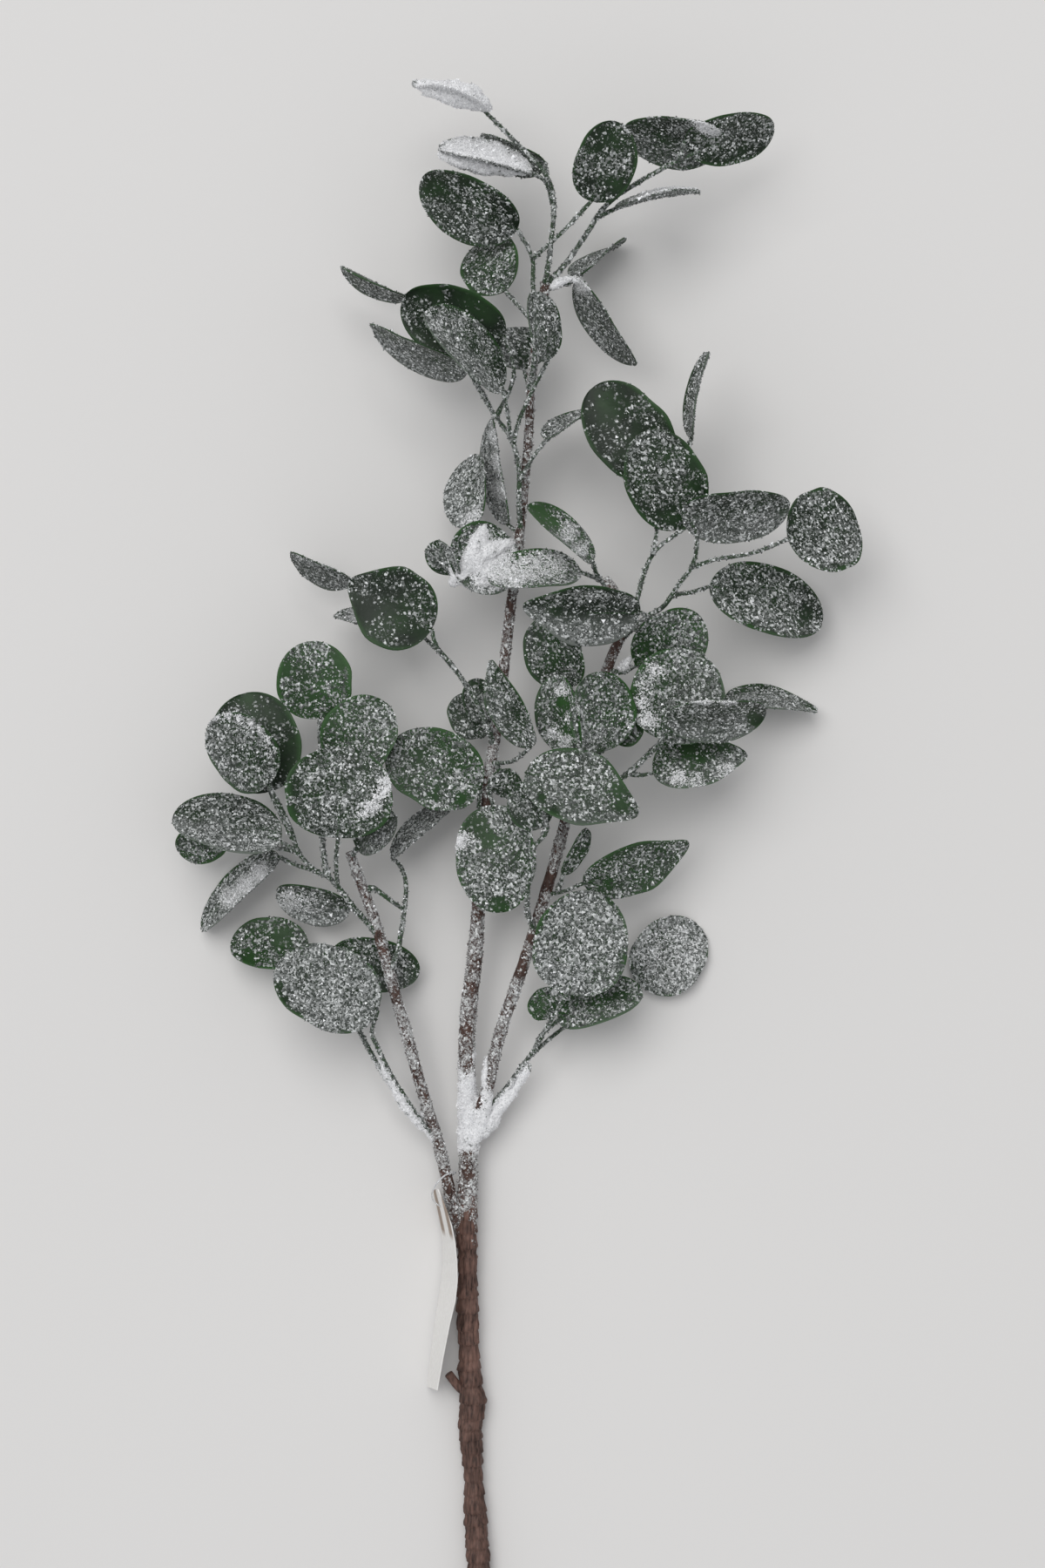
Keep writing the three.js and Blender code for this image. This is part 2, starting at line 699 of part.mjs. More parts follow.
function join(name, geometry) {
  const piece = pieces.get(name);
  piece.geometry = largest(solid(piece.geometry).add(solid(geometry)));
}

// The trunk, with the cut twig on its side and the bore that holds its wire, open at the cut end.
function makeTrunk() {
  const stub = keepLine("stub", STUB.points.map(at), () => STUB.radius);
  join("main_stem", skin(tubeRings(stub, 0, 4, 6)));
  const trunk = lines.get("main_stem").slice(0, WIRE_SAMPLES + 2);
  const first = trunk[0];
  const mouth = {
    ...first,
    point: first.point.clone().addScaledVector(first.direction, -WIRE_PROUD),
  };
  const tube = (samples, radius) =>
    skin([mouth, ...samples.filter((_, i) => i % WIRE_STRIDE === 0)].map(({ point, direction }) =>
      ring(point, direction, UP, radius, 8),
    ));
  const piece = pieces.get("main_stem");
  const bore = tube(trunk, WIRE_RADIUS + SEAT_GAP);
  piece.geometry = largest(solid(piece.geometry).subtract(solid(bore)));
  add("stem_wire", tube(trunk.slice(0, WIRE_SAMPLES - 2), WIRE_RADIUS), WIRE_STEEL);
}

function makeStems() {
  for (const [name, stem] of Object.entries(STEMS)) {
    const samples = keepLine(name, stem.points.map(at), (share) => stem.radius * along(stem.shares, share));
    const start = stem.parent ? clearOf(samples, lines.get(stem.parent)) : 0;
    add(name, skin(tubeRings(samples, start, stem.steps, stem.sides)), BARK_BROWN);
  }
}

// The card between its two long edges, with the hole that its thread goes through.
function makeTag() {
  const near = curve(TAG_NEAR_EDGE.map(at));
  const far = curve(TAG_FAR_EDGE.map(at));
  const rings = Array.from({ length: CARD_STEPS + 1 }, (_, i) => {
    const share = i / CARD_STEPS;
    const [upper, lower] = [near.getPoint(share), far.getPoint(share)];
    const across = new THREE.Vector3().subVectors(upper, lower).normalize();
    const out = new THREE.Vector3().crossVectors(near.getTangent(share), across).normalize();
    const half = out.multiplyScalar(CARD_THICKNESS / 2);
    return [
      upper.clone().sub(half), upper.clone().add(half),
      lower.clone().add(half), lower.clone().sub(half),
    ];
  });
  const hole = new THREE.CylinderGeometry(CARD_HOLE_RADIUS, CARD_HOLE_RADIUS, 16, 12);
  hole.deleteAttribute("normal");
  hole.deleteAttribute("uv");
  hole.rotateZ(Math.PI / 2);
  hole.translate(...at(TAG_HOLE).toArray());
  add("hang_tag", largest(solid(skin(rings)).subtract(solid(hole))), CARD_WHITE);
  const loop = new THREE.CatmullRomCurve3(THREAD_LOOP.map(at), true, "centripetal");
  const turns = Array.from({ length: THREAD_STEPS }, (_, i) => {
    const share = i / THREAD_STEPS;
    return ring(loop.getPoint(share), loop.getTangent(share), ALONG, THREAD_RADIUS, 5);
  });
  add("tag_loop", skin(turns, true), THREAD_CLEAR);
}

const grows = (name) => LEAVES.filter((leaf) => leaf.end === name);
const leafLine = (points) => keepLine("petiole", points, () => PETIOLE_RADIUS);

function makeStalks() {
  for (const [name, stalk] of Object.entries(STALKS)) {
    const [leaf] = grows(name);
    const samples = keepLine(name, [...stalk.points, leaf.base].map(at), (share) =>
      THREE.MathUtils.lerp(STALK_RADIUS, PETIOLE_RADIUS, share),
    );
    const start = clearOf(samples, lines.get(stalk.parent));
    const rings = [...petioleRings(samples, start, STALK_STEPS), ...bladeRings(leaf)];
    add(name, skin(rings), LEAF_GREEN);
  }
}

function makeLeaves() {
  for (const leaf of LEAVES.filter((one) => one.on)) {
    const samples = leafLine([...leaf.stem, leaf.base].map(at));
    const start = clearOf(samples, lines.get(leaf.on));
    const rings = [...petioleRings(samples, start, PETIOLE_STEPS), ...bladeRings(leaf)];
    add("leaf_" + leaf.name, skin(rings), LEAF_GREEN);
  }
  for (const leaf of LEAVES.filter((one) => one.joins)) {
    const samples = leafLine([...leaf.stem, leaf.base].map(at));
    join(leaf.joins, skin([...petioleRings(samples, 0, PETIOLE_STEPS), ...bladeRings(leaf)]));
  }
}

makeStems();
makeTrunk();
makeStalks();
makeLeaves();
makeTag();

const spray = new THREE.Group();
for (const [name, { geometry, material }] of pieces) {
  const mesh = new THREE.Mesh(geometry, material);
  mesh.name = name;
  spray.add(mesh);
}

export default spray;
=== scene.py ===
"""The looks of a frosted artificial eucalyptus spray that lies on a pale surface.

Lengths are in millimetres until a mesh is made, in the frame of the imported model.
"""

import math
from collections import namedtuple

import bpy
import numpy as np
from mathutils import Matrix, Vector


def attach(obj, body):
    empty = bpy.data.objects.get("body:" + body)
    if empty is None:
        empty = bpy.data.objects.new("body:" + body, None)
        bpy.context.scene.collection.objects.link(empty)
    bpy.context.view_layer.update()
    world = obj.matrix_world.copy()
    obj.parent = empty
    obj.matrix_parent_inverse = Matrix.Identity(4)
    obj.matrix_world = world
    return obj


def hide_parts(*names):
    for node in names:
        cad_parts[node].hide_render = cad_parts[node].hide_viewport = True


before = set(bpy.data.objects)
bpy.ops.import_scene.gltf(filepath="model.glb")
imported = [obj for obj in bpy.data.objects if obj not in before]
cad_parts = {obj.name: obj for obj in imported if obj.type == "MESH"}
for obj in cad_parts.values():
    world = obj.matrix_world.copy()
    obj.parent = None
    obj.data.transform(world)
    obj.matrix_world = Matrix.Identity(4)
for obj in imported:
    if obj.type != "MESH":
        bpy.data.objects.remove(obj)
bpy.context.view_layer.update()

MM = 0.001
UP = (0.0, 0.0, 1.0)

# The view is straight down. A pixel at the surface spans this many millimetres.
PIXEL = 0.4
VIEW_CENTRE = (600.0, 900.0)
VIEW_HEIGHT = 1500.0
CAMERA_LENS = 75.0
SENSOR = 36.0
CLIP_END = 100

# The pixel at which the model has its origin.
ORIGIN_COLUMN = 595.0
ORIGIN_ROW = 1073.6

# The light and the floor: lengths in metres, power in watts.
WINDOW_SIZE = (6.8, 5.0)
WINDOW_PLACE = (-1.8, 2.9, 7.0)
WINDOW_AIM = (0.02, 0.1, 0.02)
WINDOW_POWER = 344
WINDOW_COLOUR = (1.0, 0.995, 0.985)
SURROUND_STRENGTH = 0.53
SURROUND_COLOUR = (0.97, 0.98, 1.0, 1)
FLOOR_REACH = 40.0
FLOOR_DARK = (0.7, 0.69, 0.68)
FLOOR_LIGHT = (0.74, 0.73, 0.72)

STALK_RADIUS = 1.25
PETIOLE_RADIUS = 0.9
COLLAR = 0.45
BORE_RADIUS = 1.3
LEAF_ARCH = 0.05
LEAF_CUP = 0.08

# Each kind of stalk: the share of it under grains, and how green it is.
STALK_LOOK = (0.5, 0.5)
SIDE_TWIG_LOOK = (0.4, 0.5)
PETIOLE_LOOK = (0.48, 0.45)

# The lowest that a point of the spray may be.
FLOOR_CLEARANCE = 0.03

# The grains: their size and how it varies, how many there are, and which are large.
GRAIN_SIZE = 0.35
GRAIN_SPREAD = 0.33
GRAIN_LIMITS = (0.16, 0.95)
GRAINS_PER_MM2 = 2.1
GRAIN_LIMIT = 40000
SNOW_GRAINS = 0.8
UNDERSIDE_GRAINS = 0.45
LARGE_GLINT = 0.985
LARGE_GRAIN = 1.6

# Where the seeds of each kind of piece start.
SEED = 20
STALK_SEED = 40
TWIG_SEED = 70
PETIOLE_SEED = 80
STEM_GRAIN_SEED = 100
BARK_SEED = 300
STEM_SEED = 500
CLUMP_SEED = 600

# The crust: how many cells of grains there are along a metre, and its colours.
GRAIN_CELLS = 1050.0
FINE_CELLS = 1900.0
WHITE_GRAIN = (0.8, 0.82, 0.82)
PALE_PLASTIC = (0.2, 0.21, 0.205)
SNOW_DARK = (0.78, 0.785, 0.8)
SNOW_LIGHT = (0.92, 0.92, 0.935)
SNOWY_GRAIN = (0.9, 0.9, 0.915)
# The near-white of the glint grains: a painted sparkle highlight.
PAINTED_GLINT = (0.97, 0.98, 1.0)


def at(place):
    """A place in the straight-down view, (column, row, height), as a point of the model."""
    column, row, height = place
    shrink = 1 - height / VIEW_HEIGHT
    x = VIEW_CENTRE[0] + (column - VIEW_CENTRE[0]) * shrink
    y = VIEW_CENTRE[1] + (row - VIEW_CENTRE[1]) * shrink
    return np.array([(x - ORIGIN_COLUMN) * PIXEL, (ORIGIN_ROW - y) * PIXEL, height])


def all_at(places):
    """Points of the model for a list of places in the view."""
    return [at(place) for place in places]


def seen_at(points):
    """The column and row at which the view shows points of the model, in an array of any shape."""
    shrink = 1 - points[..., 2] / VIEW_HEIGHT
    column = points[..., 0] / PIXEL + ORIGIN_COLUMN
    row = ORIGIN_ROW - points[..., 1] / PIXEL
    return (
        VIEW_CENTRE[0] + (column - VIEW_CENTRE[0]) / shrink,
        VIEW_CENTRE[1] + (row - VIEW_CENTRE[1]) / shrink,
    )


# Brown stems: a radius, a centreline, and the share of that radius at each of its points.
STEMS = {
    "main_stem": {
        "radius": 5.0,
        "points": [
            (561, 2020, 5.3), (556, 1900, 5.3), (550, 1800, 5.3), (545.5, 1728, 5.2), (544, 1698, 5.2),
            (542, 1667, 5.3), (540, 1640, 5.5), (542, 1606, 5.7), (539, 1560, 6), (537, 1500, 7),
            (537, 1456, 8), (536, 1410, 9), (537.6, 1333, 11), (537.6, 1276, 13), (536, 1218, 15),
            (538, 1160, 17), (545, 1100, 19), (552, 1000, 23), (560, 900, 26), (567, 855, 28),
            (575, 800, 30), (586, 700, 33), (596, 620, 36), (602, 560, 37), (607, 500, 38.5),
            (611, 430, 40), (620, 365, 41.5), (627, 326, 42), (629, 310, 42.6),
        ],
        "shares": [
            1.04, 1.06, 1.04, 0.98, 0.78, 0.96, 1.04, 1.08, 0.9, 0.96, 0.8, 0.96, 0.82, 0.78, 0.74,
            0.74, 0.68, 0.54, 0.5, 0.5, 0.48, 0.46, 0.42, 0.4, 0.4, 0.38, 0.38, 0.46, 0.16,
        ],
    },
    "left_branch": {
        "radius": 2.7,
        "points": [
            (534, 1425, 9), (522, 1392, 10.2), (511, 1343, 12), (501, 1304, 13.5), (492, 1276, 15),
            (478, 1228, 17), (465, 1180, 20), (452, 1135, 23), (440, 1090, 25), (428, 1050, 27),
            (414, 1012, 28.5), (401, 978, 30.5),
        ],
        "shares": [1, 1, 1, 0.98, 0.96, 0.94, 0.94, 0.92, 0.92, 0.9, 0.84, 0.74],
    },
    "right_branch": {
        "radius": 2.7,
        "points": [
            (539, 1312, 12), (548, 1286, 14.5), (556, 1262, 16.5), (562, 1240, 17.5), (567, 1215, 19),
            (576, 1180, 21), (588, 1145, 23), (600, 1110, 25), (613, 1070, 27), (625, 1030, 29),
            (634, 1000, 30.5), (641, 975, 32), (652, 930, 34), (665, 880, 36), (677, 835, 38),
            (690, 790, 40), (702, 755, 41), (713, 728, 42), (712, 700, 42.5), (701, 676, 43),
            (694, 664, 43.6),
        ],
        "shares": [
            1.1, 1.08, 1.05, 1.02, 1, 1, 1, 1, 1, 0.98, 0.96, 0.94, 0.9, 0.86, 0.84, 0.84, 0.86,
            0.84, 0.82, 1.1, 0.8,
        ],
    },
}

# The short cut twig on the side of the trunk.
STUB = [(540, 1602, 6), (527, 1592, 7.2), (515, 1577, 8.5)]
STUB_RADIUS = 2.0

# Rows of the view at which the trunk changes.
NOTCH_ROW = 1439
RIDGE_ROW = 1448
KNOT_ROW = 1572
BULGE_ROW = 1608
ROUGH_BARK_ROWS = (1330, 1420)
DARK_BARK_ROWS = (1540, 1600)
FROST_ROWS = (1424, 1400)
CRUST_ROWS = (1412, 1372)
FORK_CRUST_ROWS = (1350, 1210)
THIN_CRUST_ROWS = (1010, 900)
FORK_ROWS = (1338, 1310)
BARE_BARK_ROWS = (1215, 1170)
LEFT_BARE_ROWS = (1010, 1050)
STALK_SNOW_ROWS = (1190, 1260)

# The brown lines on the hang tag, the height at which they lie and the rows where they begin.
CARD_HEIGHT = 12
CARD_ROWS = (1421, 1413)
CARD_LINES = [((498, 1364), (510, 1421)), ((508, 1364), (520, 1421))]

# The row of the view at which the snow on each stem above the fork runs out.
FORK_SNOW_ENDS = {"main_stem": 1178, "left_branch": 1290, "right_branch": 1200}

# Green stalks, from the axis of what each grows on, up to the base of its end leaf.
STALKS = {
    "sprig_top_left": [
        (627, 327, 42), (628, 313, 46), (631, 296, 46.5), (633, 275, 46.5), (636, 240, 47.5),
        (632, 212, 49), (624, 197, 50.5), (611, 182, 52), (587, 158, 55),
    ],
    "sprig_top_centre": [
        (609, 446, 39.8), (612, 425, 44.5), (617, 366, 46), (612, 329, 46.5), (611, 296, 47.5),
    ],
    "sprig_top_right": [
        (629, 325, 42), (648, 305, 43), (670, 274, 45), (697, 235, 47), (737, 207, 49), (780, 184, 51),
    ],
    "sprig_upper_left": [
        (598, 612, 36), (596, 576, 41.5), (596, 540, 44), (591, 515, 46), (583, 497, 47),
        (568, 477, 49), (555, 454, 51),
    ],
    "sprig_snow": [(592, 650, 35), (587, 632, 37.5)],
    "sprig_right_inner": [
        (713, 728, 42), (724, 712, 45), (731, 691, 48), (740, 657, 50), (753, 632, 52),
    ],
    "sprig_right_outer": [
        (711, 734, 41.6), (730, 719, 43), (743, 708, 44.5), (762, 696, 47), (778, 673, 50),
        (794, 651, 53), (800, 630, 56), (798, 607, 62),
    ],
    "sprig_middle_left": [
        (567, 856, 28), (557, 826, 37), (541, 795, 40), (517, 761, 42), (500, 740, 43),
    ],
    "sprig_front": [
        (614, 1067, 27), (606, 1048, 37), (606, 1020, 46), (608, 1000, 49), (612, 975, 53),
        (628, 952, 57), (617, 920, 59),
    ],
    "sprig_right": [
        (660, 900, 35.2), (690, 903, 36), (719, 890, 37), (743, 868, 43), (759, 852, 54),
    ],
    "sprig_lower_right": [
        (551, 1277, 15.4), (562, 1270, 15), (572, 1260, 15), (584, 1245, 16), (599, 1224, 17),
        (612, 1207, 19), (622, 1188, 21),
    ],
    "sprig_left": [
        (434, 1072, 26), (410, 1046, 30), (388, 1018, 34), (376, 1006, 36), (360, 998, 37.5),
        (343, 978, 40), (332, 947, 43), (317, 917, 46),
    ],
    "bare_twig": [
        (446.7, 1115, 23.9), (456, 1094, 26.5), (461, 1068, 27), (465, 1040, 26.5), (466, 1014, 26),
        (461, 996, 25),
    ],
    "sprig_lower_left": [
        (500, 1306, 13.6), (486, 1291, 16), (469, 1266, 19), (451, 1237, 23), (435, 1205, 28),
        (427, 1185, 32),
    ],
    "sprig_lower_left_back": [
        (493, 1278, 14.8), (478, 1281, 12.5), (462, 1262, 13), (445, 1238, 14), (428, 1212, 15),
        (413, 1184, 15.5), (385, 1138, 15),
    ],
    "sprig_left_centre": [
        (376, 1006, 36), (371, 975, 35), (370, 930, 34), (369, 880, 33), (367, 843, 35),
    ],
}

# A short side twig of the bare twig, back to the branch.
SIDE_TWIG = [(419, 1024, 27.5), (427, 1019, 28), (441, 1028, 28), (453, 1037, 27.5), (464, 1044, 26.6)]

Leaf = namedtuple("Leaf", "name joined petiole base tip width roll look")

# Leaves: name; the stalk or leaf that it is moulded in one with, if any; the points of its
# petiole, none where it ends a stalk; the blade's base and tip; width in millimetres; roll in
# degrees; and its look: the share of it under grains, how green what shows between them is, and
# how pale its lower side is.
LEAVES = [Leaf(*entry) for entry in (
    ("top_1", "sprig_top_left", [], (556, 127, 58), (477, 100, 62), 32, -80, (0.8, 0.4, 0.8)),
    ("top_2", "leaf_top_3", [(627, 201, 46)],
     (626, 187, 40), (552, 160, 31), 26, 70, (0.4, 0.3, 0.3)),
    ("top_3", None, [(635, 232, 47.4), (626, 208, 52)],
     (611, 199, 57), (503, 171, 60), 33, -65, (0.8, 0.4, 0.8)),
    ("top_4", "sprig_top_centre", [], (594, 263, 49), (484, 205, 53), 34, 45, (0.3, 0.1, 0.1)),
    ("top_5", None, [(616, 374, 45.9), (598, 354, 46)],
     (580, 334, 45), (553, 276, 24), 29, 18, (0.36, 0.35, 0)),
    ("top_6", None, [(611, 297, 47.4), (640, 272, 55)],
     (679, 231, 60), (707, 139, 70), 28, -20, (0.3, 0.1, 0)),
    ("top_7", "sprig_top_right", [], (832, 161, 50), (716, 149, 46), 34, 60, (0.42, 0.2, 0.25)),
    ("top_8", "sprig_top_right", [(780, 184, 51)],
     (786, 161, 55), (889, 149, 45), 27, -44, (0.32, 0.1, 0)),
    ("top_9", "sprig_top_right", [(688, 248, 46.4)],
     (706, 240, 44), (804, 222, 42), 30, 78, (0.5, 0.4, 0.5)),
    ("top_10", "leaf_top_11", [(650, 326, 38)],
     (666, 316, 27), (712, 281, 2.3), 26, 70, (0.5, 0.3, 0.4)),
    ("top_11", None, [(626, 332, 42), (650, 326, 39)],
     (664, 320, 38), (731, 419, 30), 30, -72, (0.45, 0.2, 0.4)),
    ("top_12", None, [(589, 509, 46.3), (596, 483, 50), (611, 449, 54)],
     (629, 414, 58), (610, 336, 68), 24, -50, (0.5, 0.2, 0.3)),
    ("upper_left_1", None, [(556, 456, 50.9), (530, 410, 38), (500, 375, 32)],
     (467, 341, 30), (391, 306, 30), 28, 84, (0.42, 0.2, 0.3)),
    ("upper_left_2", None, [(570, 479, 48.8), (590, 430, 50)],
     (580, 386, 50), (461, 347, 48), 33, 25, (0.2, 0.02, 0)),
    ("upper_left_3", None, [(586, 503, 46.7), (583, 475, 56)],
     (577, 446, 64), (488, 358, 80), 34, -50, (0.42, 0.2, 0.5)),
    ("upper_left_4", "sprig_upper_left", [],
     (537, 424, 53), (426, 374, 42), 34, 74, (0.4, 0.15, 0.8)),
    ("upper_left_5", None, [(609, 452, 39.6)],
     (602, 424, 34), (590, 376, 28), 26, -15, (0.45, 0.2, 0.5)),
    ("upper_left_6", None, [(598, 614, 36)],
     (583, 602, 29), (566, 479, 27), 29, 72, (0.74, 0.4, 0.9)),
    ("upper_left_7", "sprig_snow", [(588, 634, 37.2), (566, 610, 40)],
     (546, 603, 42), (537, 526, 22), 28, 45, (0.62, 0.3, 0.8)),
    ("upper_left_8", None, [(596, 552, 43.4), (612, 525, 46)],
     (628, 504, 44), (682, 470, 30), 22, 68, (0.55, 0.3, 0.4)),
    ("upper_right_1", None, [(750, 637, 53.4), (757, 590, 50)],
     (765, 547, 48), (680, 445, 48), 35, 8, (0.15, 0.08, 0)),
    ("upper_right_2", "sprig_right_inner", [],
     (788, 605, 53), (739, 495, 64), 35, 6, (0.32, 0.08, 0)),
    ("upper_right_3", "sprig_right_outer", [],
     (783, 588, 67), (907, 582, 62), 33, -50, (0.45, 0.1, 0.6)),
    ("upper_right_4", None, [(794, 651, 53), (823, 642, 53), (864, 635, 54)],
     (905, 619, 54), (986, 604, 36), 39, 8, (0.42, 0.1, 0)),
    ("upper_right_5", None, [(772, 683, 48.5), (793, 680, 40)],
     (815, 673, 31), (944, 713, 14), 33, 22, (0.42, 0.15, 0.1)),
    ("upper_right_6", "leaf_upper_right_1", [(754, 606, 50.8), (780, 550, 46)],
     (794, 503, 46), (813, 404, 48), 25, 80, (0.5, 0.2, 0.4)),
    ("middle_1", "leaf_middle_3", [(486, 731, 37), (440, 692, 32)],
     (404, 667, 28), (333, 636, 24), 25, 70, (0.45, 0.1, 0.5)),
    ("middle_2", "sprig_middle_left", [], (496, 722, 44), (401, 667, 42), 37, 4, (0.17, 0.06, 0)),
    ("middle_3", None, [(520, 765, 41.8), (502, 746, 36)],
     (484, 729, 31), (384, 706, 23), 28, -68, (0.6, 0.3, 0.8)),
    ("middle_4", "sprig_snow", [], (584, 616, 39), (528, 668, 43), 34, 4, (0.5, 0.4, 0.4)),
    ("middle_5", None, [(702, 677, 43), (685, 664, 47)],
     (667, 657, 52), (560, 665, 56), 27, -46, (0.5, 0.75, 0.3)),
    ("middle_6", "leaf_middle_5", [(688, 666, 46.5), (684, 656, 52)],
     (681, 645, 56), (606, 580, 60), 24, -58, (0.42, 0.8, 0.5)),
    ("middle_7", None, [(713, 722, 42.1), (738, 722, 54), (744, 710, 62)],
     (735, 703, 66), (600, 696, 72), 33, 38, (0.32, 0.1, 0.8)),
    ("middle_8", "sprig_snow", [(587, 638, 37), (550, 665, 38)],
     (520, 660, 38), (503, 620, 44), 22, 55, (0.5, 0.4, 0.5)),
    ("middle_9", None, [(688, 797, 39.7), (670, 802, 42)],
     (652, 790, 43), (628, 705, 49), 31, 32, (0.32, 0.3, 0.1)),
    ("middle_10", None, [(664, 884, 35.8), (662, 876, 44)],
     (655, 866, 50), (640, 774, 55), 28, 48, (0.4, 0.65, 0.2)),
    ("middle_11", "leaf_middle_10", [(663, 878, 42), (678, 870, 44)],
     (692, 863, 50), (681, 772, 62), 34, -28, (0.42, 0.45, 0.2)),
    ("middle_12", None, [(564, 876, 27.2), (588, 874, 38)],
     (609, 858, 47), (563, 758, 56), 22, 42, (0.36, 0.3, 0.2)),
    ("middle_13", None, [(569, 846, 28.4), (561, 840, 25)],
     (555, 829, 21), (544, 779, 22), 16, -14, (0.4, 0.2, 0.1)),
    ("middle_14", "leaf_middle_13", [(560.5, 839, 24.6)],
     (552, 846, 19), (527, 797, 17), 21, -10, (0.4, 0.2, 0.2)),
    ("middle_15", "sprig_front", [], (604, 886, 63), (733, 935, 68), 35, 20, (0.42, 0.25, 0.35)),
    ("middle_16", "sprig_front", [(624, 959, 56.4)],
     (628, 946, 50), (592, 902, 49), 23, 35, (0.4, 0.2, 0.1)),
    ("middle_17", "leaf_middle_12", [(570, 877, 30), (578, 896, 30)],
     (576, 914, 30), (588, 884, 40), 16, 0, (0.4, 0.3, 0)),
    ("right_1", None, [(700, 770, 40.6), (716, 772, 42)],
     (730, 764, 43), (807, 711, 42), 31, -18, (0.38, 0.6, 0.1)),
    ("right_2", None, [(730, 880, 37.9), (746, 866, 43)],
     (762, 850, 47), (797, 747, 54), 43, 8, (0.42, 0.35, 0.2)),
    ("right_3", "sprig_right", [], (765, 824, 62), (880, 815, 64), 30, -52, (0.42, 0.2, 0.6)),
    ("right_4", None, [(716, 892, 36.8), (760, 850, 22), (800, 815, 14)],
     (832, 803, 11.5), (939, 816, 10.5), 28, 66, (0.5, 0.3, 0.5)),
    ("right_5", None, [(722, 888, 37.2), (736, 890, 38)],
     (750, 887, 39), (858, 867, 36), 30, 35, (0.32, 0.4, 0.4)),
    ("right_6", "leaf_middle_10", [(664, 880, 40), (686, 862, 38)],
     (704, 851, 36), (730, 820, 36), 18, 0, (0.2, 0.7, 0)),
    ("lower_right_1", None, [(626, 1027, 29.1), (648, 1023, 32)],
     (670, 1014, 34), (791, 967, 31), 28, -36, (0.34, 0.5, 0.1)),
    ("lower_right_2", None, [(560, 900, 26), (562, 912, 32)],
     (566, 924, 36), (574, 1048, 37), 36, -6, (0.5, 0.4, 0.1)),
    ("lower_right_3", None, [(619, 1195, 20.3), (636, 1166, 32)],
     (652, 1141, 40), (684, 1023, 44), 42, 0, (0.76, 0.25, 0.1)),
    ("lower_right_4", None, [(610, 1210, 18.6), (650, 1178, 8), (700, 1150, 5)],
     (736, 1132, 4.2), (801, 1061, 0.4), 33, 0, (0.8, 0.35, 0.1)),
    ("lower_right_5", "sprig_lower_right", [],
     (641, 1171, 24), (738, 1138, 27), 27, 44, (0.38, 0.6, 0.3)),
    ("lower_right_6", "sprig_lower_right", [(626, 1184, 22)],
     (636, 1166, 20), (618, 1136, 22), 18, 0, (0.32, 0.55, 0)),
    ("lower_right_7", "leaf_lower_right_1", [(640, 1024, 31)],
     (647, 1004, 37), (674, 951, 44), 10, -40, (0.4, 0.4, 0)),
    ("left_1", "sprig_left_centre", [], (367, 825, 36), (356, 736, 40), 34, 0, (0.32, 0.55, 0)),
    ("left_2", None, [(336, 962, 41.6), (322, 935, 39)],
     (310, 909, 36), (279, 796, 34), 40, 0, (0.12, 0.12, 0)),
    ("left_3", "sprig_left", [], (308, 901, 50), (243, 826, 62), 30, -20, (0.55, 0.2, 0.2)),
    ("left_4", None, [(345, 981, 39.7), (334, 973, 42)],
     (322, 966, 44), (199, 936, 38), 33, -42, (0.45, 0.15, 0.7)),
    ("left_5", "leaf_left_4", [(337, 976, 40), (300, 970, 28)],
     (257, 951, 22), (205, 978, 18), 22, 28, (0.4, 0.6, 0)),
    ("left_6", None, [(387, 1017, 34.2), (386, 985, 48)],
     (388, 962, 57), (393, 857, 61), 48, 0, (0.45, 0.2, 0)),
    ("left_7", None, [(370, 918, 33.7), (376, 900, 37)],
     (386, 880, 40), (444, 807, 46), 34, 12, (0.38, 0.5, 0.1)),
    ("left_8", None, [(558, 930, 24.9), (550, 926, 29)],
     (552, 906, 32), (445, 860, 36), 36, -10, (0.38, 0.5, 0.1)),
    ("left_9", "bare_twig", [], (450, 984, 23), (520, 923, 24), 24, 68, (0.8, 0.15, 0.9)),
    ("left_10", None, [(403, 984, 30.2)],
     (410, 974, 34), (455, 936, 38), 24, 40, (0.5, 0.2, 0.5)),
    ("left_11", None, [(366, 1001, 37), (340, 993, 31)],
     (321, 984, 20.5), (232, 1066, 4.9), 28, -60, (0.6, 0.3, 0.8)),
    ("left_12", None, [(414, 1050, 29.4)],
     (402, 1042, 22), (317, 1025, 18), 27, 48, (0.34, 0.15, 0.9)),
    ("lower_left_1", "sprig_lower_left_back", [],
     (354, 1092, 14), (265, 1082, 10), 27, -30, (0.4, 0.45, 0)),
    ("lower_left_2", "sprig_lower_left", [],
     (434, 1160, 34), (316, 1112, 38), 38, -20, (0.84, 0.2, 0.2)),
    ("lower_left_3", "sprig_lower_left_back", [(397, 1158, 15.3)],
     (378, 1098, 13), (482, 1116, 11), 24, 0, (0.3, 0.2, 0.1)),
)]

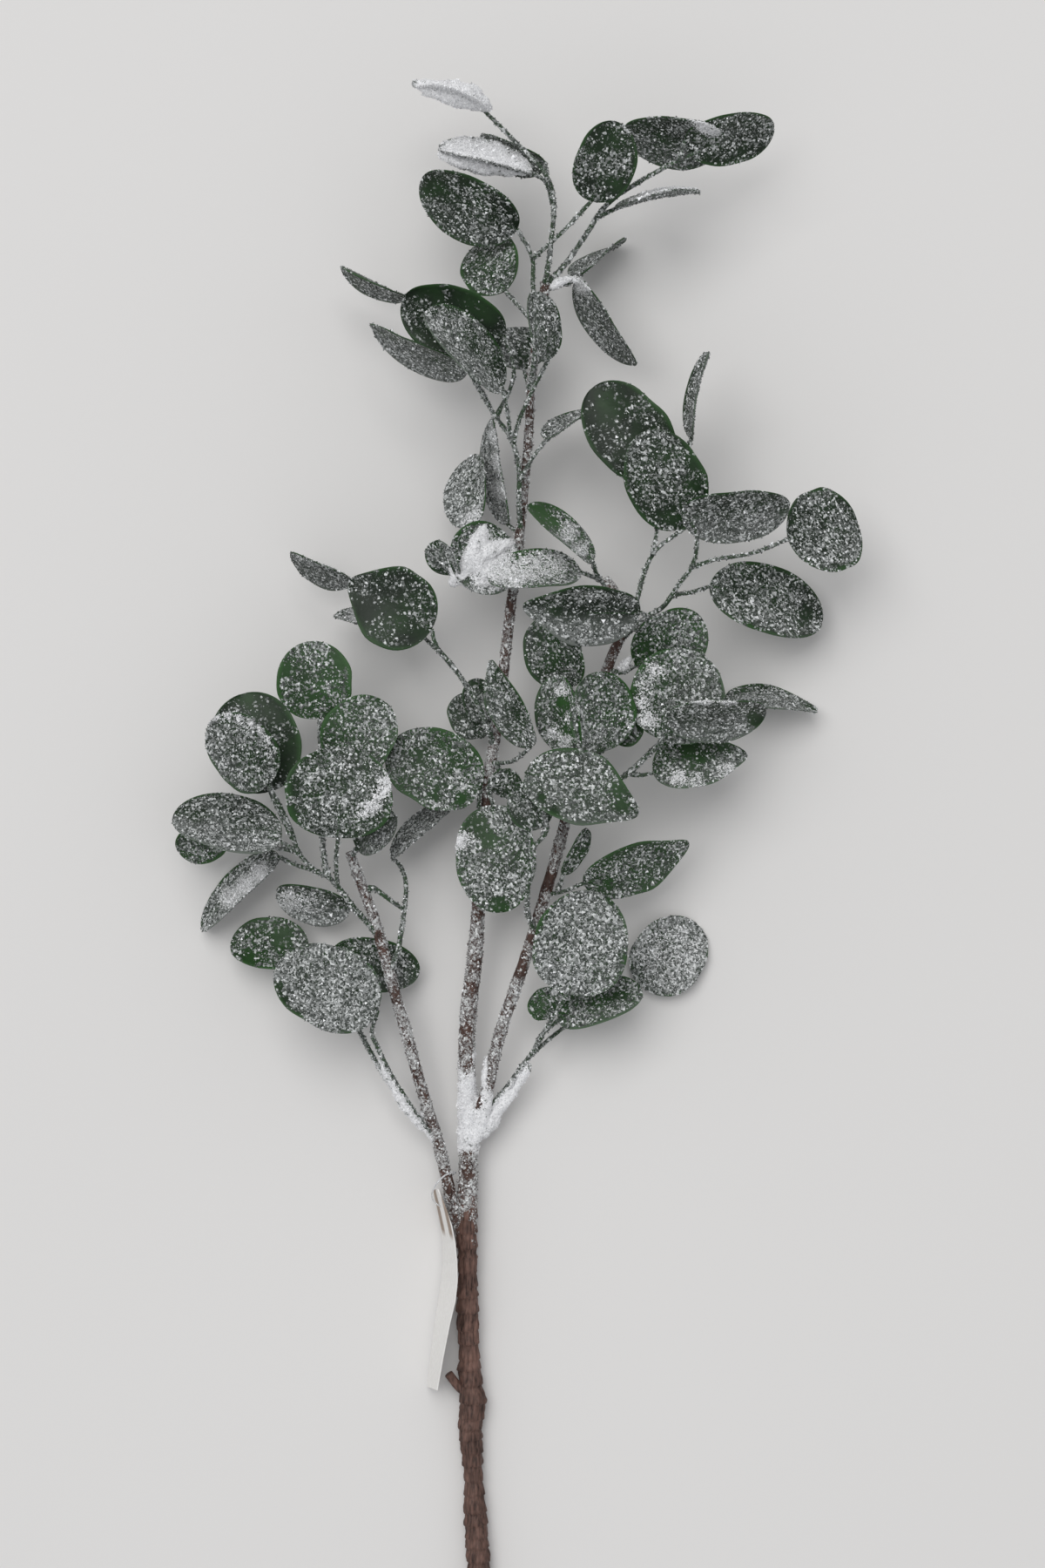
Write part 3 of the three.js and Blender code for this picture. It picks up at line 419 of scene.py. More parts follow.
# Thick white snow on leaves, as the view shows it: column, row, radius in pixels, amount.
SNOW_PATCHES = {
    "top_7": [(815, 138, 20, 0.8)],
    "top_9": [(755, 228, 30, 0.8), (790, 222, 20, 0.8)],
    "top_11": [(670, 328, 10, 0.7)],
    "top_1": [(518, 110, 80, 1.0)],
    "lower_right_4": [(770, 1097, 44, 0.16)],
    "top_3": [(530, 182, 30, 1.0), (565, 188, 30, 1.0), (590, 192, 22, 0.9)],
    "upper_left_7": [(545, 600, 16, 0.6)],
    "middle_4": [(565, 650, 30, 1.0), (590, 660, 22, 0.7)],
    "middle_5": [(572, 652, 20, 0.8), (592, 660, 16, 0.7), (612, 652, 18, 0.55), (636, 650, 16, 0.5)],
    "middle_10": [
        (676, 778, 9, 0.6), (692, 780, 9, 0.7), (702, 792, 8, 0.6), (704, 810, 8, 0.55),
        (702, 830, 8, 0.6), (690, 844, 9, 0.6), (646, 792, 8, 0.5), (636, 842, 9, 0.6),
        (650, 852, 8, 0.5), (664, 812, 7, 0.5), (656, 826, 7, 0.5),
    ],
    "left_3": [
        (236, 829, 5, 0.7), (248, 823, 5, 0.7), (261, 821, 5, 0.7), (275, 824, 5, 0.7),
        (288, 830, 5, 0.7), (299, 839, 5, 0.7), (307, 851, 5, 0.6), (312, 864, 5, 0.5),
    ],
    "right_3": [(column, 802, 6, 0.75) for column in range(762, 850, 11)],
    "upper_left_6": [(572, 500, 12, 0.55), (575, 530, 12, 0.5), (577, 562, 12, 0.5)],
    "middle_6": [(652, 612, 10, 0.5), (668, 632, 9, 0.5)],
    "middle_3": [(430, 714, 30, 0.7)],
    "right_2": [(738, 806, 9, 0.7), (741, 788, 9, 0.6), (752, 770, 10, 0.6), (745, 826, 10, 0.75)],
    "right_5": [(778, 893, 10, 0.6), (800, 897, 9, 0.5), (835, 884, 10, 0.5)],
    "lower_right_2": [(524, 965, 12, 1.0)],
    "left_6": [(446, 896, 9, 0.8), (440, 910, 9, 0.8), (430, 922, 9, 0.75), (419, 930, 7, 0.7)],
    "left_12": [(334, 1032, 13, 0.5), (352, 1036, 12, 0.4)],
    "left_11": [(300, 1003, 13, 0.8), (282, 1016, 12, 0.8), (264, 1030, 11, 0.6)],
}

# Bare green places on leaves, in the same way: column, row, radius in pixels.
BARE_PATCHES = {
    "middle_6": [(620, 590, 16), (630, 600, 12)],
    "middle_15": [(712, 905, 12), (714, 925, 12), (622, 915, 9), (634, 932, 9)],
    "lower_right_2": [(548, 948, 18), (562, 962, 12), (574, 1040, 12)],
    "lower_right_3": [(704, 1030, 9), (716, 1044, 10), (718, 1098, 8)],
    "right_3": [(866, 826, 12)],
    "middle_10": [(662, 840, 13), (646, 806, 8), (684, 818, 8), (672, 800, 6)],
    "right_2": [(728, 790, 8), (730, 765, 8)],
    "lower_left_1": [(325, 1078, 14), (285, 1100, 9)],
    "upper_right_2": [(800, 530, 14), (796, 556, 12), (772, 598, 10)],
    "upper_right_1": [(700, 470, 18), (735, 500, 16)],
    "upper_left_2": [(560, 350, 26), (530, 340, 20), (500, 335, 14)],
    "upper_right_5": [(860, 722, 12), (925, 700, 10)],
    "top_4": [(500, 215, 14), (540, 205, 12)],
    "top_6": [(712, 215, 12)],
    "left_1": [(330, 770, 10), (390, 760, 10)],
    "left_2": [(300, 890, 14), (250, 880, 10), (290, 800, 10)],
    "left_6": [(335, 905, 9), (340, 930, 8)],
    "left_8": [(500, 912, 8), (530, 916, 8)],
    "lower_left_2": [(321, 1132, 8), (325, 1150, 10), (340, 1165, 8)],
    "lower_right_1": [(740, 962, 12), (700, 1015, 8)],
    "right_5": [(790, 860, 12), (830, 855, 10)],
}

# Snow that hangs together as a lump: lines of column, row, height and radius in millimetres.
CLUMPS = {
    "snow_on_first_leaf": [[
        (478, 97, 64, 1.6), (491, 100, 65, 3.4), (506, 104, 65, 4.8), (521, 107, 64.5, 5.7),
        (536, 110, 63.5, 5.8), (548, 115, 62, 4.6), (560, 124, 59.5, 2),
    ]],
    "snow_on_second_leaf": [[
        (508, 178, 62, 2), (522, 182, 63, 3.6), (538, 185, 63, 4.5), (554, 187, 62.5, 4.8),
        (570, 189, 62, 4.6), (585, 192, 61, 3.8), (600, 196, 59.5, 2.2),
    ]],
    "snow_in_the_middle": [
        [
            (522, 668, 39, 3), (530, 655, 40, 5.4), (541, 640, 40.5, 6), (549, 624, 41, 5),
            (555, 606, 41.5, 2.6),
        ],
        [
            (541, 664, 39, 4.6), (556, 656, 40, 5.4), (572, 650, 40, 4.6), (590, 652, 39.5, 3),
            (606, 656, 39, 1.6),
        ],
        [(546, 640, 40.5, 5.4), (560, 634, 40.5, 5.2), (574, 628, 40, 3.8), (586, 622, 39, 2)],
    ],
    "snow_at_the_fork": [
        [
            (537, 1316, 12.6, 3.4), (538, 1298, 13.6, 4.3), (538, 1275, 14, 4.5), (538, 1252, 15, 4),
            (538, 1232, 15.4, 3.2), (540, 1214, 16.2, 2.2), (543, 1198, 17.2, 1.2),
        ],
        [
            (545, 1306, 14, 3.6), (551, 1286, 15.6, 3.5), (556, 1266, 17, 3), (558, 1248, 18, 2.5),
            (558, 1230, 18.6, 2), (559, 1214, 19, 1.3),
        ],
        [
            (556, 1300, 13.5, 3.3), (566, 1283, 13.8, 3.3), (578, 1267, 14.2, 3), (589, 1252, 14.8, 2.6),
            (599, 1238, 15.6, 2.2), (607, 1225, 16.6, 1.5),
        ],
    ],
    "snow_at_the_left_fork": [[
        (484, 1295, 15.4, 1.6), (474, 1282, 17, 2.3), (464, 1268, 18.8, 2.2), (454, 1251, 21, 1.9),
        (444, 1234, 23.4, 1.6), (437, 1219, 25.6, 1.1),
    ]],
    "snow_at_the_top_fork": [[
        (634, 330, 43.4, 1.5), (640, 325, 43.2, 1.9), (648, 321, 42.2, 1.7), (656, 320, 40.8, 1.5),
        (664, 322, 39.6, 1.2),
    ]],
    "snow_by_the_right_branch": [[(714, 768, 42.5, 1.8), (718, 762, 43, 2.3), (723, 756, 42.5, 1.6)]],
}

# Leaves whose far end runs to a point.
POINTED = ("middle_12", "middle_15", "right_5", "lower_right_1", "middle_7", "middle_2", "right_4")

BLADE_RINGS = 27
BLADE_ACROSS = [0.0, 0.05, 0.14, 0.3, 0.5, 0.7, 0.85, 0.94, 0.985, 1.0]


def smooth(low, high, value):
    """From 0 at low to 1 at high, smoothly."""
    share = np.clip((value - low) / (high - low), 0, 1)
    return share * share * (3 - 2 * share)


def lattice(x, y, z, seed):
    """A steady value from 0 to 1 for each whole-numbered place."""
    mixed = (x * 73856093) ^ (y * 19349663) ^ (z * 83492791) ^ (seed * 2654435)
    mixed = (mixed ^ (mixed >> 13)) * 1274126177 & 0xFFFFFFFF
    return ((mixed ^ (mixed >> 16)) & 0xFFFF) / 65535.0


def noise(points, size, seed=0):
    """Smooth noise from 0 to 1 over points, with features about size across."""
    place = np.asarray(points, float) / size + 1000
    low = np.floor(place).astype(np.int64)
    part = place - low
    part = part * part * (3 - 2 * part)
    total = 0
    for corner in range(8):
        offset = np.array([corner & 1, corner >> 1 & 1, corner >> 2 & 1])
        weight = np.prod(np.where(offset == 1, part, 1 - part), axis=-1)
        cell = low + offset
        total = total + weight * lattice(cell[..., 0], cell[..., 1], cell[..., 2], seed)
    return total


def directions_along(points):
    """The unit direction of a line at each of its points."""
    directions = np.gradient(points, axis=0)
    return directions / np.linalg.norm(directions, axis=1, keepdims=True)


def spline(points, count):
    """Points along a centripetal curve through points, from first to last."""
    points = [np.asarray(point, float) for point in points]
    before = 2 * points[0] - points[1]
    after = 2 * points[-1] - points[-2]
    padded = [before, *points, after]
    made = []
    for place in np.linspace(0, len(points) - 1, count):
        index = min(int(place), len(points) - 2)
        weight = place - index
        p0, p1, p2, p3 = padded[index : index + 4]
        steps = (p1 - p0, p2 - p1, p3 - p2)
        d0, d1, d2 = (max(np.linalg.norm(step) ** 0.5, 1e-4) for step in steps)
        out = ((p1 - p0) / d0 - (p2 - p0) / (d0 + d1) + (p2 - p1) / d1) * d1
        into = ((p2 - p1) / d1 - (p3 - p1) / (d1 + d2) + (p3 - p2) / d2) * d1
        square = weight * weight
        cube = square * weight
        made.append(
            p1 + out * weight + (3 * (p2 - p1) - 2 * out - into) * square
            + (2 * (p1 - p2) + out + into) * cube
        )
    return np.array(made)


def evenly(points, spacing):
    """Points every spacing millimetres on a curve: places, directions, run so far and share."""
    dense = spline(points, 40 * len(points))
    steps = np.linalg.norm(np.diff(dense, axis=0), axis=1)
    run = np.concatenate([[0], np.cumsum(steps)])
    count = max(4, int(run[-1] / spacing) + 1)
    wanted = np.linspace(0, run[-1], count)
    made = np.stack([np.interp(wanted, run, dense[:, axis]) for axis in range(3)], axis=1)
    share = np.interp(wanted, run, np.linspace(0, 1, len(dense)))
    return made, directions_along(made), wanted, share


def angles(sides):
    """The angle of each side of a ring."""
    return np.arange(sides) / sides * 2 * math.pi


def tube_rings(points, directions, radii, sides):
    """Rings about a line. Radii is one number a ring, or one a point of each ring."""
    right = np.cross(directions, UP)
    right /= np.linalg.norm(right, axis=1, keepdims=True)
    top = np.cross(right, directions)
    angle = angles(sides)
    radii = np.broadcast_to(np.asarray(radii, float).reshape(len(points), -1), (len(points), sides))
    return (
        points[:, None]
        + top[:, None] * (radii * np.cos(angle))[..., None]
        + right[:, None] * (radii * np.sin(angle))[..., None]
    )


def skin_faces(rings, size):
    """Four-sided faces over rings of size points, and a cap at each end."""
    faces = []
    for first in range(0, (rings - 1) * size, size):
        second = first + size
        for side in range(size):
            turn = (side + 1) % size
            faces.append((first + side, first + turn, second + turn, second + side))
    last = (rings - 1) * size
    faces.append(tuple(range(size - 1, -1, -1)))
    faces.append(tuple(range(last, last + size)))
    return faces


class Build:
    """The surface of one piece, gathered part by part, with how each point of it is frosted."""

    def __init__(self):
        self.points = []
        self.frost = []
        self.faces = []
        self.count = 0

    def add(self, points, faces, frost):
        """Adds a mesh, with four frost values a point."""
        self.faces += [tuple(corner + self.count for corner in face) for face in faces]
        self.points.append(points.reshape(-1, 3))
        self.frost.append(frost.reshape(-1, 4))
        self.count += len(self.points[-1])

    def skin(self, rings, frost):
        """Adds a closed skin over rings."""
        self.add(rings, skin_faces(*rings.shape[:2]), frost)


def frost_values(cover, snow, green, pale):
    """The four frost values a point as one array."""
    return np.clip(np.stack(np.broadcast_arrays(cover, snow, green, pale), axis=-1), 0, 1)


TETRA = np.array([[1, 1, 1], [1, -1, -1], [-1, 1, -1], [-1, -1, 1]]) / math.sqrt(3)
TETRA_FACES = np.array([[0, 1, 2], [0, 2, 3], [0, 3, 1], [1, 3, 2]])


def crystals(places, normals, sizes, random):
    """Small four-faced crystals that sit on places."""
    count = len(places)
    turn = random.normal(size=(count, 4))
    turn /= np.linalg.norm(turn, axis=1, keepdims=True)
    corners = TETRA[None] * random.uniform(0.65, 1.3, (count, 4, 1)) * sizes[:, None, None]
    axis = turn[:, None, 1:]
    across = np.cross(axis, corners)
    corners = corners + 2 * turn[:, :1, None] * across + 2 * np.cross(axis, across)
    points = corners + places[:, None] + normals[:, None] * sizes[:, None, None] * 0.35
    faces = TETRA_FACES[None] + np.arange(count)[:, None, None] * 4
    return points.reshape(-1, 3), faces.reshape(-1, 3)


def scatter(points, frost, faces, random):
    """Places for grains on the four-sided faces, more where the frost covers more."""
    quads = np.array([face for face in faces if len(face) == 4])
    corners = points[quads]
    crossed = np.cross(corners[:, 2] - corners[:, 0], corners[:, 3] - corners[:, 1])
    double = np.linalg.norm(crossed, axis=1)
    normals = crossed / np.maximum(double, 1e-9)[:, None]
    cover = frost[quads].mean(axis=1)
    wanted = GRAINS_PER_MM2 * (double / 2) * (cover[:, 0] ** 1.3 + SNOW_GRAINS * cover[:, 1])
    wanted *= np.where(normals[:, 2] < -0.15, UNDERSIDE_GRAINS, 1.0)
    chosen = np.repeat(np.arange(len(quads)), random.poisson(wanted))
    if len(chosen) > GRAIN_LIMIT:
        chosen = chosen[random.permutation(len(chosen))[:GRAIN_LIMIT]]
    a, b = random.uniform(size=(2, len(chosen), 1))
    corner = corners[chosen]
    places = (
        corner[:, 0] * (1 - a) * (1 - b) + corner[:, 1] * a * (1 - b)
        + corner[:, 2] * a * b + corner[:, 3] * (1 - a) * b
    )
    return places, normals[chosen], cover[chosen]


def add_object(name, data):
    """A new object of the scene."""
    made = bpy.data.objects.new(name, data)
    bpy.context.scene.collection.objects.link(made)
    return made


def make_piece(name, build, surface, grain, seed, grain_scale=1.0):
    """One object: the gathered surface, with crystals scattered over it."""
    random = np.random.default_rng(SEED * 1000 + seed)
    points = np.concatenate(build.points)
    frost = np.concatenate(build.frost)
    places, normals, cover = scatter(points, frost, build.faces, random)
    sizes = GRAIN_SIZE * grain_scale * np.exp(random.normal(0, GRAIN_SPREAD, len(places)))
    sizes = np.clip(sizes, *GRAIN_LIMITS)
    tone = random.uniform(0, 1, len(places))
    glint = random.uniform(0, 1, len(places))
    sizes = np.where(glint > LARGE_GLINT, LARGE_GRAIN * sizes, sizes)
    grain_points, grain_faces = crystals(places, normals, sizes, random)
    grain_frost = np.stack([tone, cover[:, 1], glint, cover[:, 3]], axis=1)
    all_points = np.concatenate([points, grain_points])
    all_points[:, 2] = np.maximum(all_points[:, 2], FLOOR_CLEARANCE)
    all_frost = np.concatenate([frost, np.repeat(grain_frost, 4, axis=0)])
    faces = build.faces + [tuple(face) for face in (grain_faces + len(points)).tolist()]
    own = len(build.faces)
    mesh = bpy.data.meshes.new(name)
    mesh.from_pydata((all_points * MM).tolist(), [], faces)
    mesh.materials.append(surface)
    mesh.materials.append(grain)
    mesh.polygons.foreach_set("material_index", [0] * own + [1] * (len(faces) - own))
    mesh.polygons.foreach_set("use_smooth", [True] * own + [False] * (len(faces) - own))
    colours = mesh.color_attributes.new("frost", "FLOAT_COLOR", "POINT")
    colours.data.foreach_set("color", all_frost.astype(np.float32).ravel())
    mesh.update()
    piece = add_object(name, mesh)
    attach(piece, "root")
    return piece


def patch(points, patches):
    """How strongly round patches of the view reach points of the model."""
    column, row = seen_at(points)
    strongest = np.zeros(row.shape)
    for spot in patches:
        centre_column, centre_row, radius = spot[:3]
        amount = spot[3] if len(spot) > 3 else 1
        away = np.hypot(column - centre_column, row - centre_row) / radius
        away = away + 0.7 * (noise(points, 2.4, 5) - 0.5)
        strongest = np.maximum(strongest, amount * (1 - smooth(0.6, 1.25, away)))
    return strongest


def leaf_frame(leaf):
    """A leaf's base and length, and directions along it, across it and out of its face."""
    base = at(leaf.base)
    line = at(leaf.tip) - base
    length = np.linalg.norm(line)
    line /= length
    flat_side = np.cross(line, UP)
    flat_side /= np.linalg.norm(flat_side)
    flat_top = np.cross(flat_side, line)
    turn = math.radians(leaf.roll)
    side = flat_side * math.cos(turn) + flat_top * math.sin(turn)
    top = flat_top * math.cos(turn) - flat_side * math.sin(turn)
    return base, length, line, side, top


def leaf_arch(share, length):
    """How far a leaf's middle line is over the straight one from its base to its tip."""
    return LEAF_ARCH * length * (1 - (2 * share - 1) ** 2)


def blade(leaf, build, random):
    """The blade of a leaf: a cupped oval with a thin rim, a midrib and a slightly wavy face."""
    base, length, line, side, top = leaf_frame(leaf)
    cover, green, pale = leaf.look
    u = 0.5 - 0.5 * np.cos(np.linspace(0.03, 0.97, BLADE_RINGS) * math.pi)
    share = np.sqrt(np.maximum(0, 1 - np.abs(2 * u**0.93 - 1) ** 2.2))
    if leaf.name in POINTED:
        share = share * (1 - 0.45 * smooth(0.5, 1, u))
    half = np.array(BLADE_ACROSS)
    upper = np.concatenate([-half[:0:-1], half])
    lower = upper[-2:0:-1]
    v = np.concatenate([upper, lower])
    face = np.concatenate([np.ones(len(upper)), -np.ones(len(lower))])
    face[np.abs(v) == 1] = 0
    seed = int(random.integers(1000))
    grid_u, grid_v = np.meshgrid(u, v, indexing="ij")
    flat = np.stack([grid_u * 3, grid_v * 1.6, np.full_like(grid_u, seed)], axis=-1)
    ripple = (noise(flat, 1.0, seed) - 0.5) * 1.5 * smooth(0, 0.25, grid_u)
    edge = np.stack([grid_u * 5, np.sign(grid_v) * 3, np.full_like(grid_u, seed + 7)], axis=-1)
    outline = 1 + 0.07 * (noise(edge, 1.0, seed + 1) - 0.5) * np.abs(grid_v)
    arch = leaf_arch(grid_u, length)
    cup = LEAF_CUP * leaf.width * share[:, None] * grid_v**2
    thick = 0.24 + 0.22 * (1 - grid_v**2) * (1 - 0.4 * grid_u)
    across = grid_v * share[:, None] * leaf.width / 2
    rib = np.exp(-((across / 0.9) ** 2)) * (1 - grid_u)
    lift = np.select([face > 0, face < 0], [thick - 0.2 * rib, -thick - 0.4 * rib], 0)
    rings = (
        base
        + line * (grid_u * length)[..., None]
        + side * (across * outline)[..., None]
        + top * (arch + cup + ripple + lift)[..., None]
    )
    snow = patch(rings, SNOW_PATCHES.get(leaf.name, []))
    bare = patch(rings, BARE_PATCHES.get(leaf.name, []))
    patchy = noise(rings, 9.0, seed + 2) - 0.5 + 0.6 * (noise(rings, 4.0, seed + 3) - 0.5)
    rim = smooth(0.86, 0.97, np.abs(grid_v))
    rim_noise = smooth(0.35, 0.6, noise(rings, 7.0, seed + 4))
    below = -np.sign(side[1]) * grid_v
    hang = pale * smooth(-0.35, 0.75, below + 0.5 * patchy)
    covered = cover + 0.5 * patchy + 0.25 * hang - 0.65 * rim * rim_noise
    covered = np.maximum(covered * (1 - 0.92 * bare), snow)
    covered = np.where(face < 0, covered * 0.75, covered)
    above = np.where((face >= 0) | (leaf.name == "top_1"), 1.0, 0.0)
    lumps = 0.35 + 0.6 * noise(rings, 3.0, seed + 5)
    rings = rings + top * (snow * lumps * above)[..., None]
    tint = green + 0.35 * (noise(rings, 14.0, seed + 6) - 0.5) + 0.5 * rim + 0.12 * bare
    build.skin(rings, frost_values(covered, snow * above, tint, hang * (1 - bare)))


def midrib(leaf, build):
    """The petiole's end as it runs into the blade."""
    base, length, line, _, top = leaf_frame(leaf)
    cover, green, _ = leaf.look
    share = np.linspace(0, 0.62, 12)
    drop = 0.05 + 0.3 * smooth(0, 0.2, share)
    rise = leaf_arch(share, length) - drop
    points = base + line * (share * length)[:, None] + top * rise[:, None]
    rings = tube_rings(points, directions_along(points), PETIOLE_RADIUS * (1 - share / 0.7), 8)
    cover = np.full(rings.shape[:2], cover * 0.8)
    build.skin(rings, frost_values(cover, 0, green + 0.2, 0))


def stalk(points, radius, build, look, seed):
    """A green stalk or petiole, with a swelling where it grows out of its stem."""
    cover, green = look
    line, directions, run, share = evenly(points, 1.5)
    radii = radius + (PETIOLE_RADIUS - radius) * share
    radii = radii * (1 + COLLAR * np.exp(-np.maximum(run - 2.5, 0) / 1.8))
    rings = tube_rings(line, directions, radii, 10)
    radial = rings - line[:, None]
    wobble = 0.22 * (noise(rings, 3.0, seed) - 0.5)
    rings = line[:, None] + radial * (1 + wobble)[..., None]
    _, row = seen_at(rings)
    near_fork = smooth(*STALK_SNOW_ROWS, row)
    outer = smooth(-0.4, 0.5, radial[..., 0] * np.sign(line[:, None, 0] + 20) / radii[:, None])
    snow = near_fork * outer
    patchy = noise(rings, 6.0, seed + 1) - 0.5
    covered = np.maximum(cover + 0.7 * patchy, snow)
    lumps = 0.4 + 0.5 * noise(rings, 2.4, seed + 2)
    rings = rings + radial / radii[:, None, None] * (snow * lumps)[..., None]
    build.skin(rings, frost_values(covered, snow, green, 0.1))


def stem_frost(name, rings, seed):
    """How a brown stem is frosted: not at all low on the trunk, thickly at the fork."""
    _, row = seen_at(rings)
    patchy = noise(rings, 6.0, seed) - 0.5 + 0.8 * (noise(rings, 2.6, seed + 1) - 0.5)
    uneven = row + 44 * (noise(rings, 4.0, seed + 5) - 0.5)
    base = 0.55 * smooth(*CRUST_ROWS, uneven) + 0.03 * smooth(*FORK_CRUST_ROWS, row)
    base = base - 0.1 * smooth(*THIN_CRUST_ROWS, row)
    end = FORK_SNOW_ENDS[name]
    fork = smooth(*FORK_ROWS, row) * smooth(end, end + 100, row)
    snow = smooth(0.4, 0.9, fork + 0.6 * patchy) if name != "left_branch" else np.zeros(row.shape)
    bare = smooth(0.1, 0.26, noise(rings, 14.0, seed + 2) - 0.5) * smooth(*BARE_BARK_ROWS, row)
    if name == "left_branch":
        bare = bare * smooth(*LEFT_BARE_ROWS, row)
    covered = np.maximum((base + 0.95 * patchy) * (1 - 0.9 * bare), snow)
    covered = covered * smooth(*FROST_ROWS, uneven)
    light = 0.4 + 0.6 * smooth(*ROUGH_BARK_ROWS, row) - 0.25 * smooth(*DARK_BARK_ROWS, row)
    return np.clip(covered, 0, 1), snow, light


def trunk_radii(radii, run, rings_row, angle, random):
    """The moulded bark of the trunk: irregular steps, lengthwise grooves, a notch and a knot."""
    steps = np.cumsum(random.uniform(4.5, 8.5, 200))
    start = np.searchsorted(steps, run)
    since = run - np.where(start > 0, steps[start - 1], 0)
    gap = np.where(start > 0, steps[start] - steps[start - 1], steps[0])
    saw = 1.07 - 0.15 * (since / gap) ** 1.5
    offset = random.uniform(-0.5, 0.5, 200)[start]
    place = np.empty((len(run), len(angle), 3))
    place[..., 0] = np.cos(angle) * 2.2
    place[..., 1] = np.sin(angle) * 2.2
    place[..., 2] = (run / 11)[:, None]
    groove = 0.15 * (noise(place * 1.6, 1.0, 3) - 0.5) + 0.2 * (noise(place * 3.4, 1.0, 4) - 0.5)
    lean = 1 + 0.07 * offset[:, None] * np.cos(angle)[None]

    def near(row, reach):
        return np.exp(-(((rings_row - row) / reach) ** 2))

    notch = 1 - 0.13 * near(NOTCH_ROW, 4)
    notch = notch + 0.1 * near(RIDGE_ROW, 6)
    bulge = 1 + 0.2 * near(BULGE_ROW, 9)[:, None] * np.maximum(np.sin(angle), 0)
    knot = 1 + 0.26 * near(KNOT_ROW, 8)[:, None] * np.maximum(-np.sin(angle), 0) ** 3
    lower = smooth(*ROUGH_BARK_ROWS, rings_row)
    bark = (saw * notch)[:, None] * lean * bulge * knot * (1 + groove)
    return radii[:, None] * (1 + (bark - 1) * (0.3 + 0.7 * lower)[:, None])


def stem(name, build, random, seed):
    """A brown stem with its bark. The trunk has an open bore at its cut end."""
    shape = STEMS[name]
    trunk = name == "main_stem"
    line, directions, run, share = evenly(all_at(shape["points"]), 0.8 if trunk else 1.2)
    spots = np.linspace(0, 1, len(shape["shares"]))
    radii = shape["radius"] * np.interp(share, spots, shape["shares"])
    sides = 44 if trunk else 22
    if trunk:
        _, row = seen_at(line)
        radii = trunk_radii(radii, run, row, angles(sides), random)
        radii[0] *= 0.96
    rings = tube_rings(line, directions, radii, sides)
    radial = rings - line[:, None]
    rings = line[:, None] + radial * (1 + 0.13 * (noise(rings, 2.6, seed) - 0.5))[..., None]
    covered, snow, light = stem_frost(name, rings, seed + 3)
    lumps = 0.4 + 0.5 * noise(rings, 2.6, seed + 4)
    unit = radial / np.linalg.norm(radial, axis=2, keepdims=True)
    rings = rings + unit * (snow * lumps)[..., None]
    frost = frost_values(covered, snow, light, 0)
    if trunk:
        bore = tube_rings(line[[12, 0]], directions[[12, 0]], np.full(2, BORE_RADIUS), sides)
        rings = np.concatenate([bore, rings])
        frost = np.concatenate([np.zeros((2, sides, 4)), frost])
    build.skin(rings, frost)


def clump(name, lines, seed, surface, grain):
    """A lump of snow: balls along lines, run together, roughened, under a crust of grains."""
    bpy.ops.object.select_all(action="DESELECT")
    balls = []
    for line in lines:
        centres = [at(place[:3]) for place in line]
        length = sum(np.linalg.norm(b - a) for a, b in zip(centres, centres[1:]))
        count = max(3, int(length / 1.1))
        radii = [place[3] for place in line]
        radii = np.interp(np.linspace(0, len(line) - 1, count), range(len(line)), radii)
        balls += [(*centre, radius) for centre, radius in zip(spline(centres, count), radii)]
    balls = np.array(balls)
    parts = []
    for ball in balls * MM:
        bpy.ops.mesh.primitive_ico_sphere_add(subdivisions=2, radius=ball[3], location=ball[:3])
        parts.append(bpy.context.object)
    for part in parts:
        part.select_set(True)
    bpy.context.view_layer.objects.active = parts[0]
    bpy.ops.object.join()
    lump = bpy.context.object
    bpy.ops.object.transform_apply(location=True, rotation=True, scale=True)
    remesh = lump.modifiers.new("together", "REMESH")
    remesh.mode = "VOXEL"
    remesh.voxel_size = 0.75 * MM
    graph = bpy.context.evaluated_depsgraph_get()
    made = bpy.data.meshes.new_from_object(lump.evaluated_get(graph))
    points = np.array([vertex.co[:] for vertex in made.vertices]) / MM
    normals = np.array([vertex.normal[:] for vertex in made.vertices])
    faces = [tuple(polygon.vertices) for polygon in made.polygons]
    bpy.data.objects.remove(lump)
    bpy.data.meshes.remove(made)
    rough = 1.8 * (noise(points, 4.5, seed) - 0.5) + 0.9 * (noise(points, 1.8, seed + 1) - 0.5)
    points = points + normals * rough[:, None]
    nearest = np.linalg.norm(points[:, None] - balls[None, :, :3], axis=2).argmin(axis=1)
    depth = 0.55 * noise(points, 3.4, seed + 2) + 0.6 * noise(points, 1.1, seed + 3)
    depth = depth * (0.5 + 0.5 * smooth(0.9, 3, balls[nearest, 3]))
    build = Build()
    build.add(points, faces, frost_values(0.5, smooth(0.1, 0.4, depth), 0.4, 0.5))
    piece = make_piece(name, build, surface, grain, seed, 0.9)


